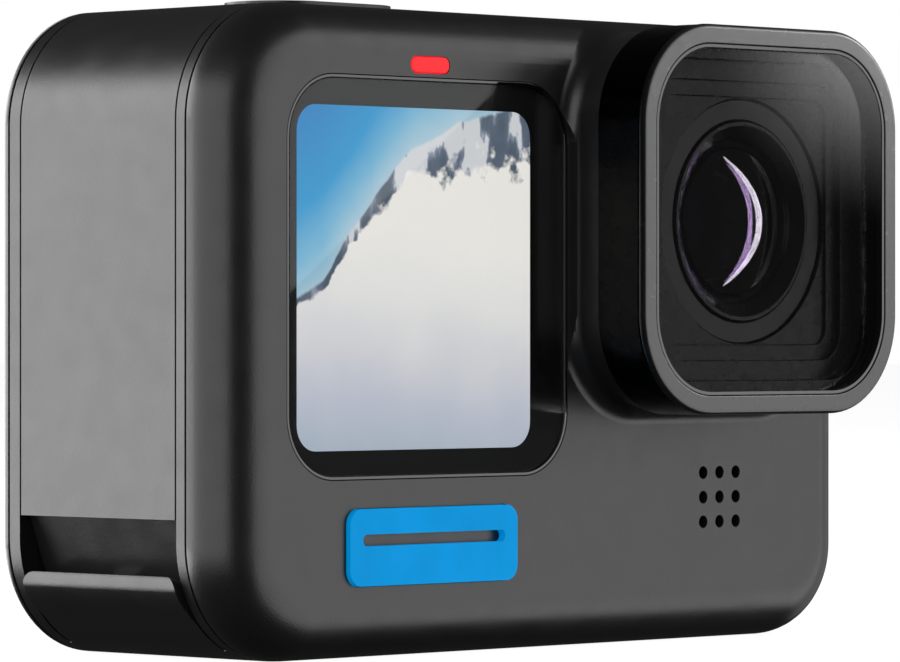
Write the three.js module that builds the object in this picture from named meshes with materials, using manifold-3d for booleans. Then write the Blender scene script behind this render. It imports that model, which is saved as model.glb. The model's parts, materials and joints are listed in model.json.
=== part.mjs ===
// Action camera: body shells, side door with latch, square lens housing with a
// twist-off cover, two screens, buttons, battery bay and folding mount fingers.
// Millimetres. X runs from the door side to the lens side, the front faces -Y,
// Z is up. The origin is under the middle of the camera, on the surface it stands on.
import * as THREE from 'three';
import { mergeVertices } from 'three/addons/utils/BufferGeometryUtils.js';
import Module from 'manifold-3d';

const wasm = await Module();
wasm.setup();

// ---------------------------------------------------------------- driving dimensions
const BODY_WIDTH = 71.8;
const BODY_HEIGHT = 50.2;
const TOTAL_DEPTH = 33.6;
const LENS_REACH = 8.4; // lens cover ahead of the front face
const CORNER = 9.2; // outline corner radius on the door side
const LENS_CORNER = 7.5; // and on the lens side
const FRONT_FILLET = 4.5;
const SEAM = 0.2; // open line between two shells
const GAP = 0.25; // clearance between parts that touch
const WALL = 1.8;
const SHELL = 1.5;
const FIT = 0.12; // line left round a flush panel
const FAR = 60; // anywhere well outside the camera

const HALF_WIDTH = BODY_WIDTH / 2;
const REAR = TOTAL_DEPTH / 2;
const COVER_FRONT = -TOTAL_DEPTH / 2;
const FRONT = COVER_FRONT + LENS_REACH;
const MID_Z = BODY_HEIGHT / 2;
const FRONT_SEAM = FRONT + FRONT_FILLET; // back edge of the front shell
const BAND_FRONT = FRONT_SEAM + SEAM;
const BAND_REAR = REAR - 0.8; // back edge of the middle band

// Front screen and its picture area
const SCREEN = { x: -14.25, z: 29.27, w: 31.1, h: 31.0, r: 5 };
const PICTURE = { x: -16.0, z: 29.2, w: 25.8, h: 26.3, r: 2 };
const GLASS_THICK = 1.1;

// Rear screen
const TOUCH = { x: 0, z: 25.4, w: 60, h: 38, r: 4 };
const REAR_PICTURE = { x: 0, z: 25.8, w: 50, h: 28.4, r: 1 };

// Lens group, turned about an axis along Y
const LENS_X = 16.475;
const LENS_Z = 34.0;
const COVER = { x: LENS_X, z: LENS_Z, w: 31, h: 31, r: 8 };
const COVER_GLASS = { x: LENS_X, z: LENS_Z, w: 28, h: 28, r: 6.5 };
const COVER_STEPS = [ // nested square steps behind the glass, with how far each lies behind the rim
  { x: LENS_X, z: LENS_Z, w: 25.6, h: 25.6, r: 4.4, depth: 2.5 },
  { x: LENS_X, z: LENS_Z, w: 22.4, h: 22.4, r: 2.6, depth: 3 },
  { x: LENS_X, z: LENS_Z, w: 19.9, h: 19.9, r: 1.6, depth: 3.2 },
];
const PLATE_BORE = 9.9; // round hole in the last step
const PLATE_BACK = 4.15; // rear face of the stepped plate, behind the rim
const PLATFORM = { x: LENS_X, z: LENS_Z, w: 30.2, h: 30.2, r: 7.6 };
const COVER_DEPTH = 4.9;
const COVER_BACK = COVER_FRONT + COVER_DEPTH;
const COLLAR_REACH = 2.3;
const COLLAR_BORE = 10.6;
const COLLAR_OUTER = 11.8;
const PLATFORM_BORE = 12.7;
const BARREL_FRONT = COVER_FRONT + 3.3;
const BARREL_RADIUS = 8;
const BARREL_REAR = -0.4;

// Microphone holes, record light, accent badge
const MIC = { x: 19.47, z: 11.67, pitch: 2, radius: 0.5, count: 3 };
const LIGHT = { x: -14.27, z: 45.7, w: 4.2, h: 1.24, r: 0.6 };
const BADGE = { x: -14.15, z: 8.65, w: 18.5, h: 5.9, r: 1.2 };
const BADGE_SLOT = { x: -14.15, z: 9.2, w: 15.7, h: 0.9, r: 0.42 };
const BADGE_RAISE = 0.4;

// Door on the -X side, hinged along Y at the top corner
const DOOR_FRONT = FRONT + 5.6; // front edge of the door opening
const DOOR_REAR = FRONT + 23.25;
const DOOR_LOWER = 10.93; // lower edge of the outer panel
const HINGE_RADIUS = 1.25;
const HINGE_X = -26.9; // the hinge pin, in the upper door-side corner
const HINGE_Z = 48.84;
const PIN_RADIUS = 0.5;
const LIP_TOP = 6.7;
const LIP_END_X = -30.6; // inner end of the latch lip, under the corner
const LIP_THICK = 1.3;

// Battery bay
const BATTERY = { x0: -31, x1: 9.7, y0: 1.6, y1: 14.2, z0: 11.2, z1: 44.7 };

// Buttons
const SHUTTER = { x: -15.15, y: 4.2, w: 14.5, d: 8.6, r: 4 };
const SHUTTER_TOP = 50.8;
const MODE = { y: 4.6, z: 29, w: 11, h: 5, r: 2.45 };
const BUTTON_THICK = 2;
const BUTTON_FLANGE = 0.8; // rim that keeps a button in its hole

// Folding mount fingers, hinged along Y under the middle of the camera
const FINGER_Y = 6.2;
const FINGER_WIDTH = 15;
const FINGER_THICK = 3;
const FINGER_HINGE_X = 3.15;
const FINGER_LENGTH = 15.4; // hinge axis to the tip
const FINGER_EYE = 2.5; // radius of the bore in each finger
const BASE = { w: 46, d: 17, r: 2, top: 4.4 };
const BASE_SCREW_X = 21.1;
const POCKET = { w: 38.4, d: 15.6, r: 7.6, top: 3.4 };

const SCREW_PLACES = [[-25.5, 45.4], [-29, 8.4], [29, 8.4], [29, 45]];

const ARC = 7; // segments in a quarter of a large corner
const ROUND = 30; // sides of a large turned piece
const SMALL_ROUND = 12; // sides of a small one

// ---------------------------------------------------------------- materials
const finish = (color, roughness, metalness) =>
  new THREE.MeshStandardMaterial({ color, roughness, metalness });

const rubberGrey = finish(0x3a3a3c, 0.6, 0);
const blackPlastic = finish(0x151516, 0.45, 0);
const innerPlastic = finish(0x1f1f21, 0.7, 0);
const glass = finish(0x08080a, 0.05, 0);
const lensGlass = finish(0x2a1638, 0.03, 0);
const display = finish(0x5c86b4, 0.3, 0);
const darkDisplay = finish(0x0b0c10, 0.3, 0);
const steel = finish(0xb8babd, 0.35, 1);
const aluminium = finish(0xa9acb0, 0.45, 1);
const board = finish(0x123420, 0.55, 0);
const seal = finish(0x9a4a2c, 0.8, 0);
const blue = finish(0x0091dc, 0.5, 0);
const red = finish(0xd8202a, 0.3, 0);
const cellWrap = finish(0x2c5f96, 0.5, 0);

// ---------------------------------------------------------------- geometry helpers
// Keeps positions only, shares equal corners and drops triangles with no area.
function weld(geometry) {
  const bare = geometry.index ? geometry.toNonIndexed() : geometry.clone();
  bare.deleteAttribute('normal');
  bare.deleteAttribute('uv');
  const merged = mergeVertices(bare, 1e-4);
  const kept = [];
  const corners = merged.index.array;
  for (let i = 0; i < corners.length; i += 3) {
    const [a, b, c] = [corners[i], corners[i + 1], corners[i + 2]];
    if (a !== b && b !== c && c !== a) {
      kept.push(a, b, c);
    }
  }
  return { vertices: merged.attributes.position.array, triangles: kept };
}

function solid(geometry) {
  const { vertices, triangles } = weld(geometry);
  return new wasm.Manifold(new wasm.Mesh({
    numProp: 3,
    vertProperties: Float32Array.from(vertices),
    triVerts: Uint32Array.from(triangles),
  }));
}

function toGeometry(body) {
  const mesh = body.getMesh();
  const geometry = new THREE.BufferGeometry();
  geometry.setAttribute('position', new THREE.BufferAttribute(Float32Array.from(mesh.vertProperties), 3));
  geometry.setIndex(Array.from(mesh.triVerts));
  geometry.computeVertexNormals();
  return geometry;
}

const camera = new THREE.Group();

function piece(name, body, material) {
  const mesh = new THREE.Mesh(toGeometry(body), material.clone());
  mesh.name = name;
  camera.add(mesh);
  return mesh;
}

const join = (...bodies) => bodies.reduce((sum, body) => sum.add(body));

const box = (x0, x1, y0, y1, z0, z1) => solid(
  new THREE.BoxGeometry(x1 - x0, y1 - y0, z1 - z0)
    .translate((x0 + x1) / 2, (y0 + y1) / 2, (z0 + z1) / 2));

// Rounded rectangle of size w by h about (cx, cy), whose +x corners may have their own radius
function roundedShape(cx, cy, w, h, r, right = r) {
  const shape = new THREE.Shape();
  const [x0, y0] = [w / 2 - r, h / 2 - r];
  const [x1, y1] = [w / 2 - right, h / 2 - right];
  shape.absarc(cx + x1, cy + y1, right, 0, Math.PI / 2);
  shape.absarc(cx - x0, cy + y0, r, Math.PI / 2, Math.PI);
  shape.absarc(cx - x0, cy - y0, r, Math.PI, Math.PI * 1.5);
  shape.absarc(cx + x1, cy - y1, right, Math.PI * 1.5, Math.PI * 2);
  shape.closePath();
  return shape;
}

// Extrusions whose outline lies across one axis: Y takes (x, z), Z takes (x, y), X takes (y, z).
const alongY = (shape, y0, y1, segments = ARC) => solid(
  new THREE.ExtrudeGeometry(shape, { depth: y1 - y0, bevelEnabled: false, curveSegments: segments })
    .rotateX(Math.PI / 2).translate(0, y1, 0));
const alongZ = (shape, z0, z1, segments = ARC) => solid(
  new THREE.ExtrudeGeometry(shape, { depth: z1 - z0, bevelEnabled: false, curveSegments: segments })
    .translate(0, 0, z0));
const alongX = (shape, x0, x1, segments = ARC) => solid(
  new THREE.ExtrudeGeometry(shape, { depth: x1 - x0, bevelEnabled: false, curveSegments: segments })
    .rotateY(Math.PI / 2).rotateX(Math.PI / 2).translate(x0, 0, 0));

const rodY = (x, z, r, y0, y1, sides = SMALL_ROUND) => solid(
  new THREE.CylinderGeometry(r, r, y1 - y0, sides).translate(x, (y0 + y1) / 2, z));
const rodZ = (x, y, r, z0, z1, sides = SMALL_ROUND) => solid(
  new THREE.CylinderGeometry(r, r, z1 - z0, sides).rotateX(Math.PI / 2).translate(x, y, (z0 + z1) / 2));

// A panel {x, z, w, h, r} between two depths, grown by a margin all round
const panel = (p, y0, y1, grow = 0, segments = ARC) => alongY(
  roundedShape(p.x, p.z, p.w + 2 * grow, p.h + 2 * grow, Math.max(p.r + grow, 0.1)), y0, y1, segments);

// The body's outline, set in from the outer surface
const bodyShape = (inset) => roundedShape(0, MID_Z, BODY_WIDTH - 2 * inset, BODY_HEIGHT - 2 * inset,
  CORNER - inset, LENS_CORNER - inset);
const outline = (inset, y0, y1) => alongY(bodyShape(inset), y0, y1);

// The same outline with its front edge rounded
function pillow(inset, fillet, y0, y1) {
  const geometry = new THREE.ExtrudeGeometry(bodyShape(inset), {
    depth: y1 - y0,
    bevelEnabled: true,
    bevelThickness: fillet,
    bevelSize: fillet,
    bevelOffset: -fillet,
    bevelSegments: 5,
    curveSegments: ARC,
  }).rotateX(Math.PI / 2).translate(0, y1 + fillet, 0);
  return solid(geometry).intersect(box(-HALF_WIDTH, HALF_WIDTH, y0, y1, 0, BODY_HEIGHT));
}

// A body of revolution about an axis along Y; the profile lists (radius, y)
function turned(profile, x, z, sides = ROUND) {
  const points = profile.map(([r, y]) => new THREE.Vector2(r, y));
  return solid(new THREE.LatheGeometry(points, sides).translate(x, 0, z));
}

// A ring about the same kind of axis, with its section running anticlockwise
const ring = (inner, outer, y0, y1, x, z, sides = ROUND) => turned(
  [[inner, y0], [outer, y0], [outer, y1], [inner, y1], [inner, y0]], x, z, sides);

// A coil spring of round wire about an axis along Z, with flat-lying open ends
class Helix extends THREE.Curve {
  constructor(x, y, z0, z1, radius, turns) {
    super();
    Object.assign(this, { x, y, z0, z1, radius, turns });
  }

  getPoint(t) {
    const angle = t * this.turns * Math.PI * 2;
    return new THREE.Vector3(
      this.x + this.radius * Math.cos(angle),
      this.y + this.radius * Math.sin(angle),
      this.z0 + t * (this.z1 - this.z0));
  }
}

const WIRE_STEPS = 3; // points on half of the wire's round section
const STEPS_PER_TURN = 9;

function springGeometry(x, y, z0, z1, radius, wire, turns) {
  const section = new THREE.Shape();
  section.absarc(0, 0, wire, 0, Math.PI * 2);
  const path = new Helix(x, y, z0 + wire, z1 - wire, radius, turns);
  return new THREE.ExtrudeGeometry(section, {
    extrudePath: path,
    steps: Math.round(turns * STEPS_PER_TURN),
    curveSegments: WIRE_STEPS,
    bevelEnabled: false,
  });
}

// Points (radius, y) of a dome from its apex outwards; a negative sag turns the dome to the rear
function domeProfile(edge, apexY, sag, steps) {
  const radius = (edge * edge + sag * sag) / (2 * Math.abs(sag));
  const points = [];
  for (let i = 0; i <= steps; i += 1) {
    const r = (edge * i) / steps;
    const drop = radius - Math.sqrt(radius * radius - r * r);
    points.push([r, apexY + Math.sign(sag) * drop]);
  }
  return points;
}

// ---------------------------------------------------------------- front shell
const POST_RADIUS = 1.6;
const SCREW_SHANK = 0.7;
const SCREW_HEAD = 1.2;
const PANEL_DEPTH = 2.8; // how far the display and the light pipe reach behind the front face

function frontHousing() {
  const skin = pillow(0, FRONT_FILLET, FRONT, FRONT_SEAM);
  const platform = panel(PLATFORM, COVER_BACK + GAP, FRONT + 1);
  const cavity = pillow(SHELL, FRONT_FILLET - SHELL, FRONT + SHELL, FRONT_SEAM);
  const posts = SCREW_PLACES.map(([x, z]) => rodY(x, z, POST_RADIUS, FRONT + SHELL / 2, FRONT_SEAM));
  let body = join(skin.add(platform).subtract(cavity), ...posts);
  for (const [x, z] of SCREW_PLACES) {
    body = body.subtract(rodY(x, z, SCREW_SHANK + GAP, FRONT + 2 * SHELL, FRONT_SEAM + 1));
  }
  body = body.subtract(rodY(LENS_X, LENS_Z, PLATFORM_BORE, COVER_BACK - 1, 0, ROUND));
  body = body.subtract(panel(SCREEN, FRONT - 1, FRONT + GLASS_THICK + 2 * GAP, FIT));
  body = body.subtract(panel(PICTURE, FRONT, 0, GAP, 4));
  body = body.subtract(panel(LIGHT, FRONT - 1, 0, FIT, 4));
  body = body.subtract(panel(BADGE, FRONT - 1, FRONT + 0.55, 0.15, 4));
  const reach = (MIC.count - 1) / 2;
  for (let row = -reach; row <= reach; row += 1) {
    for (let column = -reach; column <= reach; column += 1) {
      const hole = rodY(MIC.x + column * MIC.pitch, MIC.z + row * MIC.pitch, MIC.radius, FRONT - 1, 0, 10);
      body = body.subtract(hole);
    }
  }
  return body;
}

piece('front_housing', frontHousing(), rubberGrey);
piece('front_screen_glass', panel(SCREEN, FRONT + 0.02, FRONT + GLASS_THICK, -FIT), glass);
piece('front_display', panel(PICTURE, FRONT + GLASS_THICK + GAP, FRONT + PANEL_DEPTH, 0, 4), display);
piece('record_light', panel(LIGHT, FRONT + 0.02, FRONT + PANEL_DEPTH, 0, 4), red);
piece('accent_badge', panel(BADGE, FRONT - BADGE_RAISE, FRONT + 0.3, 0, 4)
  .subtract(panel(BADGE_SLOT, FRONT - 2, FRONT + 2, 0, 4)), blue);
piece('microphone_board', box(MIC.x - 3.3, MIC.x + 3.3, -6.4, -5.5, MIC.z - 3.3, MIC.z + 3.3), board);

// ---------------------------------------------------------------- lens cover and lens
const GLASS_POCKET = 1.7;
const SEAL_Y = COVER_BACK + 1.2; // middle of the ring that seals the cover

function coverFrame() {
  let body = panel(COVER, COVER_FRONT, COVER_BACK);
  body = body.subtract(panel(COVER_GLASS, COVER_FRONT - 1, COVER_FRONT + GLASS_POCKET));
  for (const step of COVER_STEPS) {
    body = body.subtract(panel(step, COVER_FRONT, COVER_FRONT + step.depth, 0, 4));
  }
  body = body.add(ring(COLLAR_BORE, COLLAR_OUTER, COVER_BACK - 0.4, COVER_BACK + COLLAR_REACH,
    LENS_X, LENS_Z));
  body = body.subtract(rodY(LENS_X, LENS_Z, PLATE_BORE, COVER_FRONT, COVER_BACK + 5, ROUND));
  body = body.subtract(rodY(LENS_X, LENS_Z, COLLAR_BORE, COVER_FRONT + PLATE_BACK, COVER_BACK + 5, ROUND));
  return body.subtract(ring(COLLAR_OUTER - 0.5, COLLAR_OUTER + 1, SEAL_Y - 0.55, SEAL_Y + 0.55,
    LENS_X, LENS_Z));
}

piece('lens_cover_frame', coverFrame(), blackPlastic);
piece('lens_cover_glass', panel(COVER_GLASS, COVER_FRONT + 0.15, COVER_FRONT + 1.45, -0.15), glass);
piece('lens_cover_seal', ring(COLLAR_OUTER - 0.35, COLLAR_OUTER + 0.6, SEAL_Y - 0.4, SEAL_Y + 0.4,
  LENS_X, LENS_Z), seal);

const RING_FRONT = BARREL_FRONT + 0.15;
const RING_SHOULDER = COVER_FRONT + PLATE_BACK + GAP;
const COLLAR_END = COVER_BACK + COLLAR_REACH;
const MOUNT_FOOT = 12.3;
piece('lens_mount_ring', turned([
  [BARREL_RADIUS + GAP, RING_FRONT],
  [PLATE_BORE - GAP, RING_FRONT],
  [PLATE_BORE - GAP, RING_SHOULDER],
  [COLLAR_BORE - GAP, RING_SHOULDER],
  [COLLAR_BORE - GAP, COLLAR_END + GAP],
  [MOUNT_FOOT, COLLAR_END + GAP],
  [MOUNT_FOOT, BAND_FRONT - GAP],
  [BARREL_RADIUS + GAP, BAND_FRONT - GAP],
  [BARREL_RADIUS + GAP, RING_FRONT],
], LENS_X, LENS_Z), innerPlastic);

const LENS_BORE = 5.9;
const REAR_BORE = 4.4;
const BORE_STEP_Y = -9;
piece('lens_barrel', turned([
  [LENS_BORE, BARREL_FRONT + 0.7],
  [BARREL_RADIUS - 0.8, BARREL_FRONT],
  [BARREL_RADIUS, BARREL_FRONT],
  [BARREL_RADIUS, BARREL_REAR],
  [REAR_BORE, BARREL_REAR],
  [REAR_BORE, BORE_STEP_Y],
  [LENS_BORE, BORE_STEP_Y],
  [LENS_BORE, BARREL_FRONT + 0.7],
], LENS_X, LENS_Z), blackPlastic);

const FRONT_LENS_EDGE = LENS_BORE - GAP;
const REAR_LENS_EDGE = REAR_BORE - GAP;
piece('front_lens', turned([
  ...domeProfile(FRONT_LENS_EDGE, BARREL_FRONT + 0.2, 1.9, 6),
  [FRONT_LENS_EDGE, BORE_STEP_Y - GAP],
  [0, BORE_STEP_Y - GAP],
], LENS_X, LENS_Z), lensGlass);
piece('rear_lens', turned([
  ...domeProfile(REAR_LENS_EDGE, -8, 0.9, 4),
  ...domeProfile(REAR_LENS_EDGE, -4.5, -0.9, 4).reverse(),
], LENS_X, LENS_Z), lensGlass);
piece('image_sensor', box(12.3, 20.7, -0.1, 0.5, 30.6, 37.4), darkDisplay);
piece('sensor_board', box(11.6, 25.6, 0.75, 1.65, 27, 41), board);

// ---------------------------------------------------------------- chassis band
const FLANGE_OUTER = 2.5; // seal land behind the door, set in from the outline
const FLANGE_INNER = 3.3;
const FLANGE_LOWER = 9.6;
const BULKHEAD = 0.8;
const STRIP_END_X = -24;
const BAY_WALL = 0.8;
const SCREW_HEAD_Y = BAND_FRONT + BULKHEAD + GAP;

function chassisFrame() {
  let body = outline(0, BAND_FRONT, BAND_REAR).subtract(outline(WALL, -REAR, REAR));
  // Door opening, leaving a narrow strip in front of it and behind it
  const cuts = [
    box(-FAR, LIP_END_X + GAP, DOOR_FRONT, DOOR_REAR, -1, FAR),
    box(-FAR, HINGE_X, DOOR_FRONT, DOOR_REAR, MID_Z, FAR),
    box(HINGE_X, HINGE_X + HINGE_RADIUS + GAP, DOOR_FRONT, DOOR_REAR, HINGE_Z, FAR),
  ];
  body = cuts.reduce((rest, cut) => rest.subtract(cut), body);
  // Seal land and the thick strips that carry it
  const doorSide = box(-FAR, STRIP_END_X, -REAR, REAR, -1, FAR);
  const land = outline(FLANGE_OUTER, BAND_FRONT, BAND_REAR).subtract(outline(FLANGE_INNER, -REAR, REAR))
    .intersect(doorSide).intersect(box(-FAR, FAR, -REAR, REAR, FLANGE_LOWER, FAR));
  const strips = [[BAND_FRONT, DOOR_FRONT], [DOOR_REAR, BAND_REAR]].map(([y0, y1]) =>
    outline(0, y0, y1).subtract(outline(FLANGE_INNER, -REAR, REAR)).intersect(doorSide));
  body = join(body, land, ...strips);
  body = body.subtract(rodY(HINGE_X, HINGE_Z, HINGE_RADIUS + GAP, DOOR_FRONT, DOOR_REAR, 20));
  body = body.subtract(rodY(HINGE_X, HINGE_Z, PIN_RADIUS + GAP, -REAR, REAR));
  body = body.subtract(box(-FAR, -30, DOOR_FRONT, BATTERY.y1 + GAP, BATTERY.z0 - GAP, BATTERY.z1 + GAP));
  // Bulkhead towards the front shell, with the walls of the battery bay behind it
  let bulkhead = outline(SHELL, BAND_FRONT, BAND_FRONT + BULKHEAD);
  bulkhead = bulkhead.subtract(rodY(LENS_X, LENS_Z, BARREL_RADIUS + 1, -REAR, REAR, ROUND));
  bulkhead = bulkhead.subtract(rodY(HINGE_X, HINGE_Z, PIN_RADIUS + GAP, -REAR, REAR));
  const bayFloor = box(-30, 11, BAND_FRONT, 14.4, BATTERY.z0 - GAP - BAY_WALL, BATTERY.z0 - GAP);
  const bayRoof = box(-30, 11, BAND_FRONT + 4.5, 14.4, BATTERY.z1 + GAP, BATTERY.z1 + GAP + BAY_WALL);
  const bayEnd = box(10.2, 11, 2.2, 14.4, BATTERY.z0 - 1, BATTERY.z1 + 1);
  body = join(body, bulkhead, bayFloor, bayRoof, bayEnd);
  for (const [x, z] of SCREW_PLACES) {
    body = body.subtract(rodY(x, z, SCREW_SHANK + GAP, BAND_FRONT - 1, BAND_FRONT + 2));
  }
  // Button holes and the opening for the base plate with its two screw brackets
  const shutterHole = roundedShape(SHUTTER.x, SHUTTER.y, SHUTTER.w + 2 * GAP, SHUTTER.d + 2 * GAP,
    SHUTTER.r + GAP);
  const modeHole = roundedShape(MODE.y, MODE.z, MODE.w + 2 * GAP, MODE.h + 2 * GAP, MODE.r + GAP);
  const baseHole = roundedShape(0, FINGER_Y, BASE.w + 2 * GAP, BASE.d + 2 * GAP, BASE.r + GAP);
  body = body.subtract(alongZ(shutterHole, BODY_HEIGHT - WALL - 1, FAR, 5));
  body = body.subtract(alongX(modeHole, HALF_WIDTH - WALL - 0.5, FAR, 5));
  body = body.subtract(alongZ(baseHole, -1, WALL + 1, 3));
  for (const side of [-1, 1]) {
    const [inner, outer, wall] = [BASE_SCREW_X - 2, BASE_SCREW_X + 5, BASE_SCREW_X + 2.4];
    const arm = box(Math.min(side * inner, side * outer), Math.max(side * inner, side * outer),
      FINGER_Y - 2, FINGER_Y + 2, BASE.top + GAP, BASE.top + 1.8);
    const leg = box(Math.min(side * wall, side * outer), Math.max(side * wall, side * outer),
      FINGER_Y - 2, FINGER_Y + 2, 1, BASE.top + 1.8);
    body = join(body, arm, leg).subtract(rodZ(side * BASE_SCREW_X, FINGER_Y, SCREW_SHANK + GAP, 2, 8));
  }
  return body;
}

piece('chassis_frame', chassisFrame(), rubberGrey);
SCREW_PLACES.forEach(([x, z], index) => {
  const shank = rodY(x, z, SCREW_SHANK, FRONT + 2.4 * SHELL, SCREW_HEAD_Y + 0.5, 10);
  const head = rodY(x, z, SCREW_HEAD, SCREW_HEAD_Y, SCREW_HEAD_Y + 0.8);
  const slot = box(x - 0.2, x + 0.2, SCREW_HEAD_Y + 0.5, SCREW_HEAD_Y + 1, z - 0.7, z + 0.7);
  piece(`housing_screw_${index + 1}`, shank.add(head).subtract(slot), steel);
});

// ---------------------------------------------------------------- side door and latch
const DOOR_SIDE_GAP = 0.15;
const DOOR_Y0 = DOOR_FRONT + DOOR_SIDE_GAP;
const DOOR_Y1 = DOOR_REAR - DOOR_SIDE_GAP;
const SEAL_OUTER = 1.95; // inset of the rubber seal from the outline
const SEAL_INNER = 2.3;
const TONGUE_Z = 5; // underside of the latch tongue
const LATCH_TRAVEL = 1;
const LEDGE_Z = 8.5;

// Section (x, z) of the sloped floor of the finger scoop, which runs on behind the lip
const SCOOP = [
  [-35.2, 11.4], [-33.55, 7], [-33, 5.9], [-31.4, 4.1], [-30.9, 4.8], [-32.3, 6.4], [-32.95, 7.2], [-34.55, 11.4],
];

function sideDoor() {
  const shell = outline(0, DOOR_Y0, DOOR_Y1).subtract(outline(SHELL, -REAR, REAR))
    .intersect(box(-FAR, HINGE_X, -REAR, REAR, DOOR_LOWER, FAR));
  const barrel = rodY(HINGE_X, HINGE_Z, HINGE_RADIUS, DOOR_Y0, DOOR_Y1, 20);
  const scoop = alongY(new THREE.Shape(SCOOP.map(([x, z]) => new THREE.Vector2(x, z))), DOOR_Y0, DOOR_Y1);
  const ledge = box(-33.8, -31, FINGER_Y - 2, FINGER_Y + 2, LEDGE_Z, LEDGE_Z + 0.7);
  const slot = box(-FAR, -30, FINGER_Y - 1.8, FINGER_Y + 1.8, 0, TONGUE_Z + 2);
  const bore = rodY(HINGE_X, HINGE_Z, PIN_RADIUS + GAP, -REAR, REAR);
  return join(shell, barrel, scoop.subtract(slot), ledge).subtract(bore);
}

piece('side_door', sideDoor(), rubberGrey);
piece('door_hinge_pin', rodY(HINGE_X, HINGE_Z, PIN_RADIUS, BAND_FRONT + 0.15, BAND_REAR - 0.15), steel);
piece('door_seal', outline(SEAL_OUTER, -2.4, 14.45).subtract(outline(SEAL_INNER, -REAR, REAR))
  .intersect(box(-FAR, -27, -REAR, REAR, FLANGE_LOWER + 0.6, 46.6))
  .subtract(box(-FAR, -27, -1.6, 13.65, FLANGE_LOWER + 1.2, 45.8)), seal);
piece('door_latch', outline(0, DOOR_Y0 + 0.35, DOOR_Y1 - 0.35).subtract(outline(LIP_THICK, -REAR, REAR))
  .intersect(box(-FAR, LIP_END_X, -REAR, REAR, -1, LIP_TOP))
  .add(box(-34, -30.9, FINGER_Y - 1.4, FINGER_Y + 1.4, TONGUE_Z, TONGUE_Z + 1.2)), rubberGrey);
piece('latch_spring', solid(springGeometry(-31.8, FINGER_Y, TONGUE_Z + 1.3, LEDGE_Z - 0.1, 0.7, 0.15, 4)),
  steel);

// ---------------------------------------------------------------- rear shell and touch screen
const PLUG_INSET = 3.6;
const PLUG_FRONT = 14.95;

function rearHousing() {
  const body = outline(0, BAND_REAR + SEAM, REAR).add(outline(PLUG_INSET, PLUG_FRONT, BAND_REAR + 0.5));
  return body.subtract(panel(TOUCH, REAR - GLASS_THICK - GAP, REAR + 1, FIT))
    .subtract(panel(REAR_PICTURE, 0, REAR, 0.8, 4));
}

piece('rear_housing', rearHousing(), rubberGrey);
piece('rear_touch_glass', panel(TOUCH, REAR - GLASS_THICK, REAR, -FIT), glass);
piece('rear_display', panel(REAR_PICTURE, BATTERY.y1 + 0.3, REAR - GLASS_THICK - GAP, 0, 4), darkDisplay);

// ---------------------------------------------------------------- battery, boards, card and port
const CARD = { x0: -31.5, x1: -16.5, y0: -0.95, y1: -0.05, z0: 27, z1: 38 };
const USB = { y: -0.65, z: 17, w: 3.2, h: 8.9, r: 1.5 };

function cardSocket() {
  const body = box(-29.5, -14.5, -2.5, 1.2, CARD.z0 - 1, CARD.z1 + 1);
  return body.subtract(box(-FAR, -15.2, CARD.y0 - GAP, CARD.y1 + GAP, CARD.z0 - GAP, CARD.z1 + GAP));
}

function usbPort() {
  const shellOutline = roundedShape(USB.y, USB.z, USB.w, USB.h, USB.r);
  const boreOutline = roundedShape(USB.y, USB.z, USB.w - 0.6, USB.h - 0.6, USB.r - 0.3);
  const tongue = box(-30.3, -24, USB.y - 0.35, USB.y + 0.35, USB.z - 3.3, USB.z + 3.3);
  return alongX(shellOutline, -31.5, -24, 4).subtract(alongX(boreOutline, -32, -24.7, 4)).add(tongue);
}

piece('battery', box(BATTERY.x0, BATTERY.x1, BATTERY.y0, BATTERY.y1, BATTERY.z0, BATTERY.z1), cellWrap);
piece('battery_pull_tab', box(-32.2, -31.25, 5.4, 10.4, 24, 32), blackPlastic);
piece('memory_card', box(CARD.x0, CARD.x1, CARD.y0, CARD.y1, CARD.z0, CARD.z1), blackPlastic);
piece('card_socket', cardSocket(), steel);
piece('usb_port', usbPort(), steel);
piece('heat_spreader', box(11.5, 30.5, 2.4, 3.2, 12, 44), aluminium);
piece('main_board', box(11.5, 30.5, 4.2, 5.2, 12, 44), board);
piece('image_processor', box(15, 27, 5.5, 6.7, 31, 43), blackPlastic);
piece('speaker', rodY(20, 18, 5.4, 8.5, 12.5, 24), blackPlastic);

// ---------------------------------------------------------------- buttons
const SHUTTER_TRAVEL = 0.45;
const SHELF_TOP = BATTERY.z1 + GAP + BAY_WALL;

function buttonCap(outlineShape, flangeShape, extrude, top, flangeLow, flangeHigh) {
  return extrude(outlineShape, flangeLow, top, 5).add(extrude(flangeShape, flangeLow, flangeHigh, 5));
}

const shutterShape = (grow) => roundedShape(SHUTTER.x, SHUTTER.y, SHUTTER.w + 2 * grow,
  SHUTTER.d + 2 * grow, SHUTTER.r + grow);
const modeShape = (grow) => roundedShape(MODE.y, MODE.z, MODE.w + 2 * grow, MODE.h + 2 * grow,
  MODE.r + grow);
piece('shutter_button', buttonCap(shutterShape(0), shutterShape(BUTTON_FLANGE), alongZ,
  SHUTTER_TOP, 47.4, 48), blackPlastic);
piece('shutter_switch', rodZ(SHUTTER.x, SHUTTER.y, 1.1, SHELF_TOP + 0.1, SHELF_TOP + 0.75), steel);
piece('shutter_spring', solid(springGeometry(SHUTTER.x, SHUTTER.y, SHELF_TOP + 0.05, SHELF_TOP + 1.05,
  2, 0.14, 2)), steel);
piece('mode_button', buttonCap(modeShape(0), modeShape(BUTTON_FLANGE), alongX,
  HALF_WIDTH, 33.2, 33.8), blackPlastic);
piece('mode_switch', solid(new THREE.CylinderGeometry(1.1, 1.1, 1.1, SMALL_ROUND)
  .rotateZ(Math.PI / 2).translate(32.05, MODE.y, MODE.z)), steel);
piece('mode_spring', solid(springGeometry(0, 0, 31.4, 32.65, 2, 0.14, 2)
  .rotateY(Math.PI / 2).translate(0, MODE.y, MODE.z)), steel);

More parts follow.
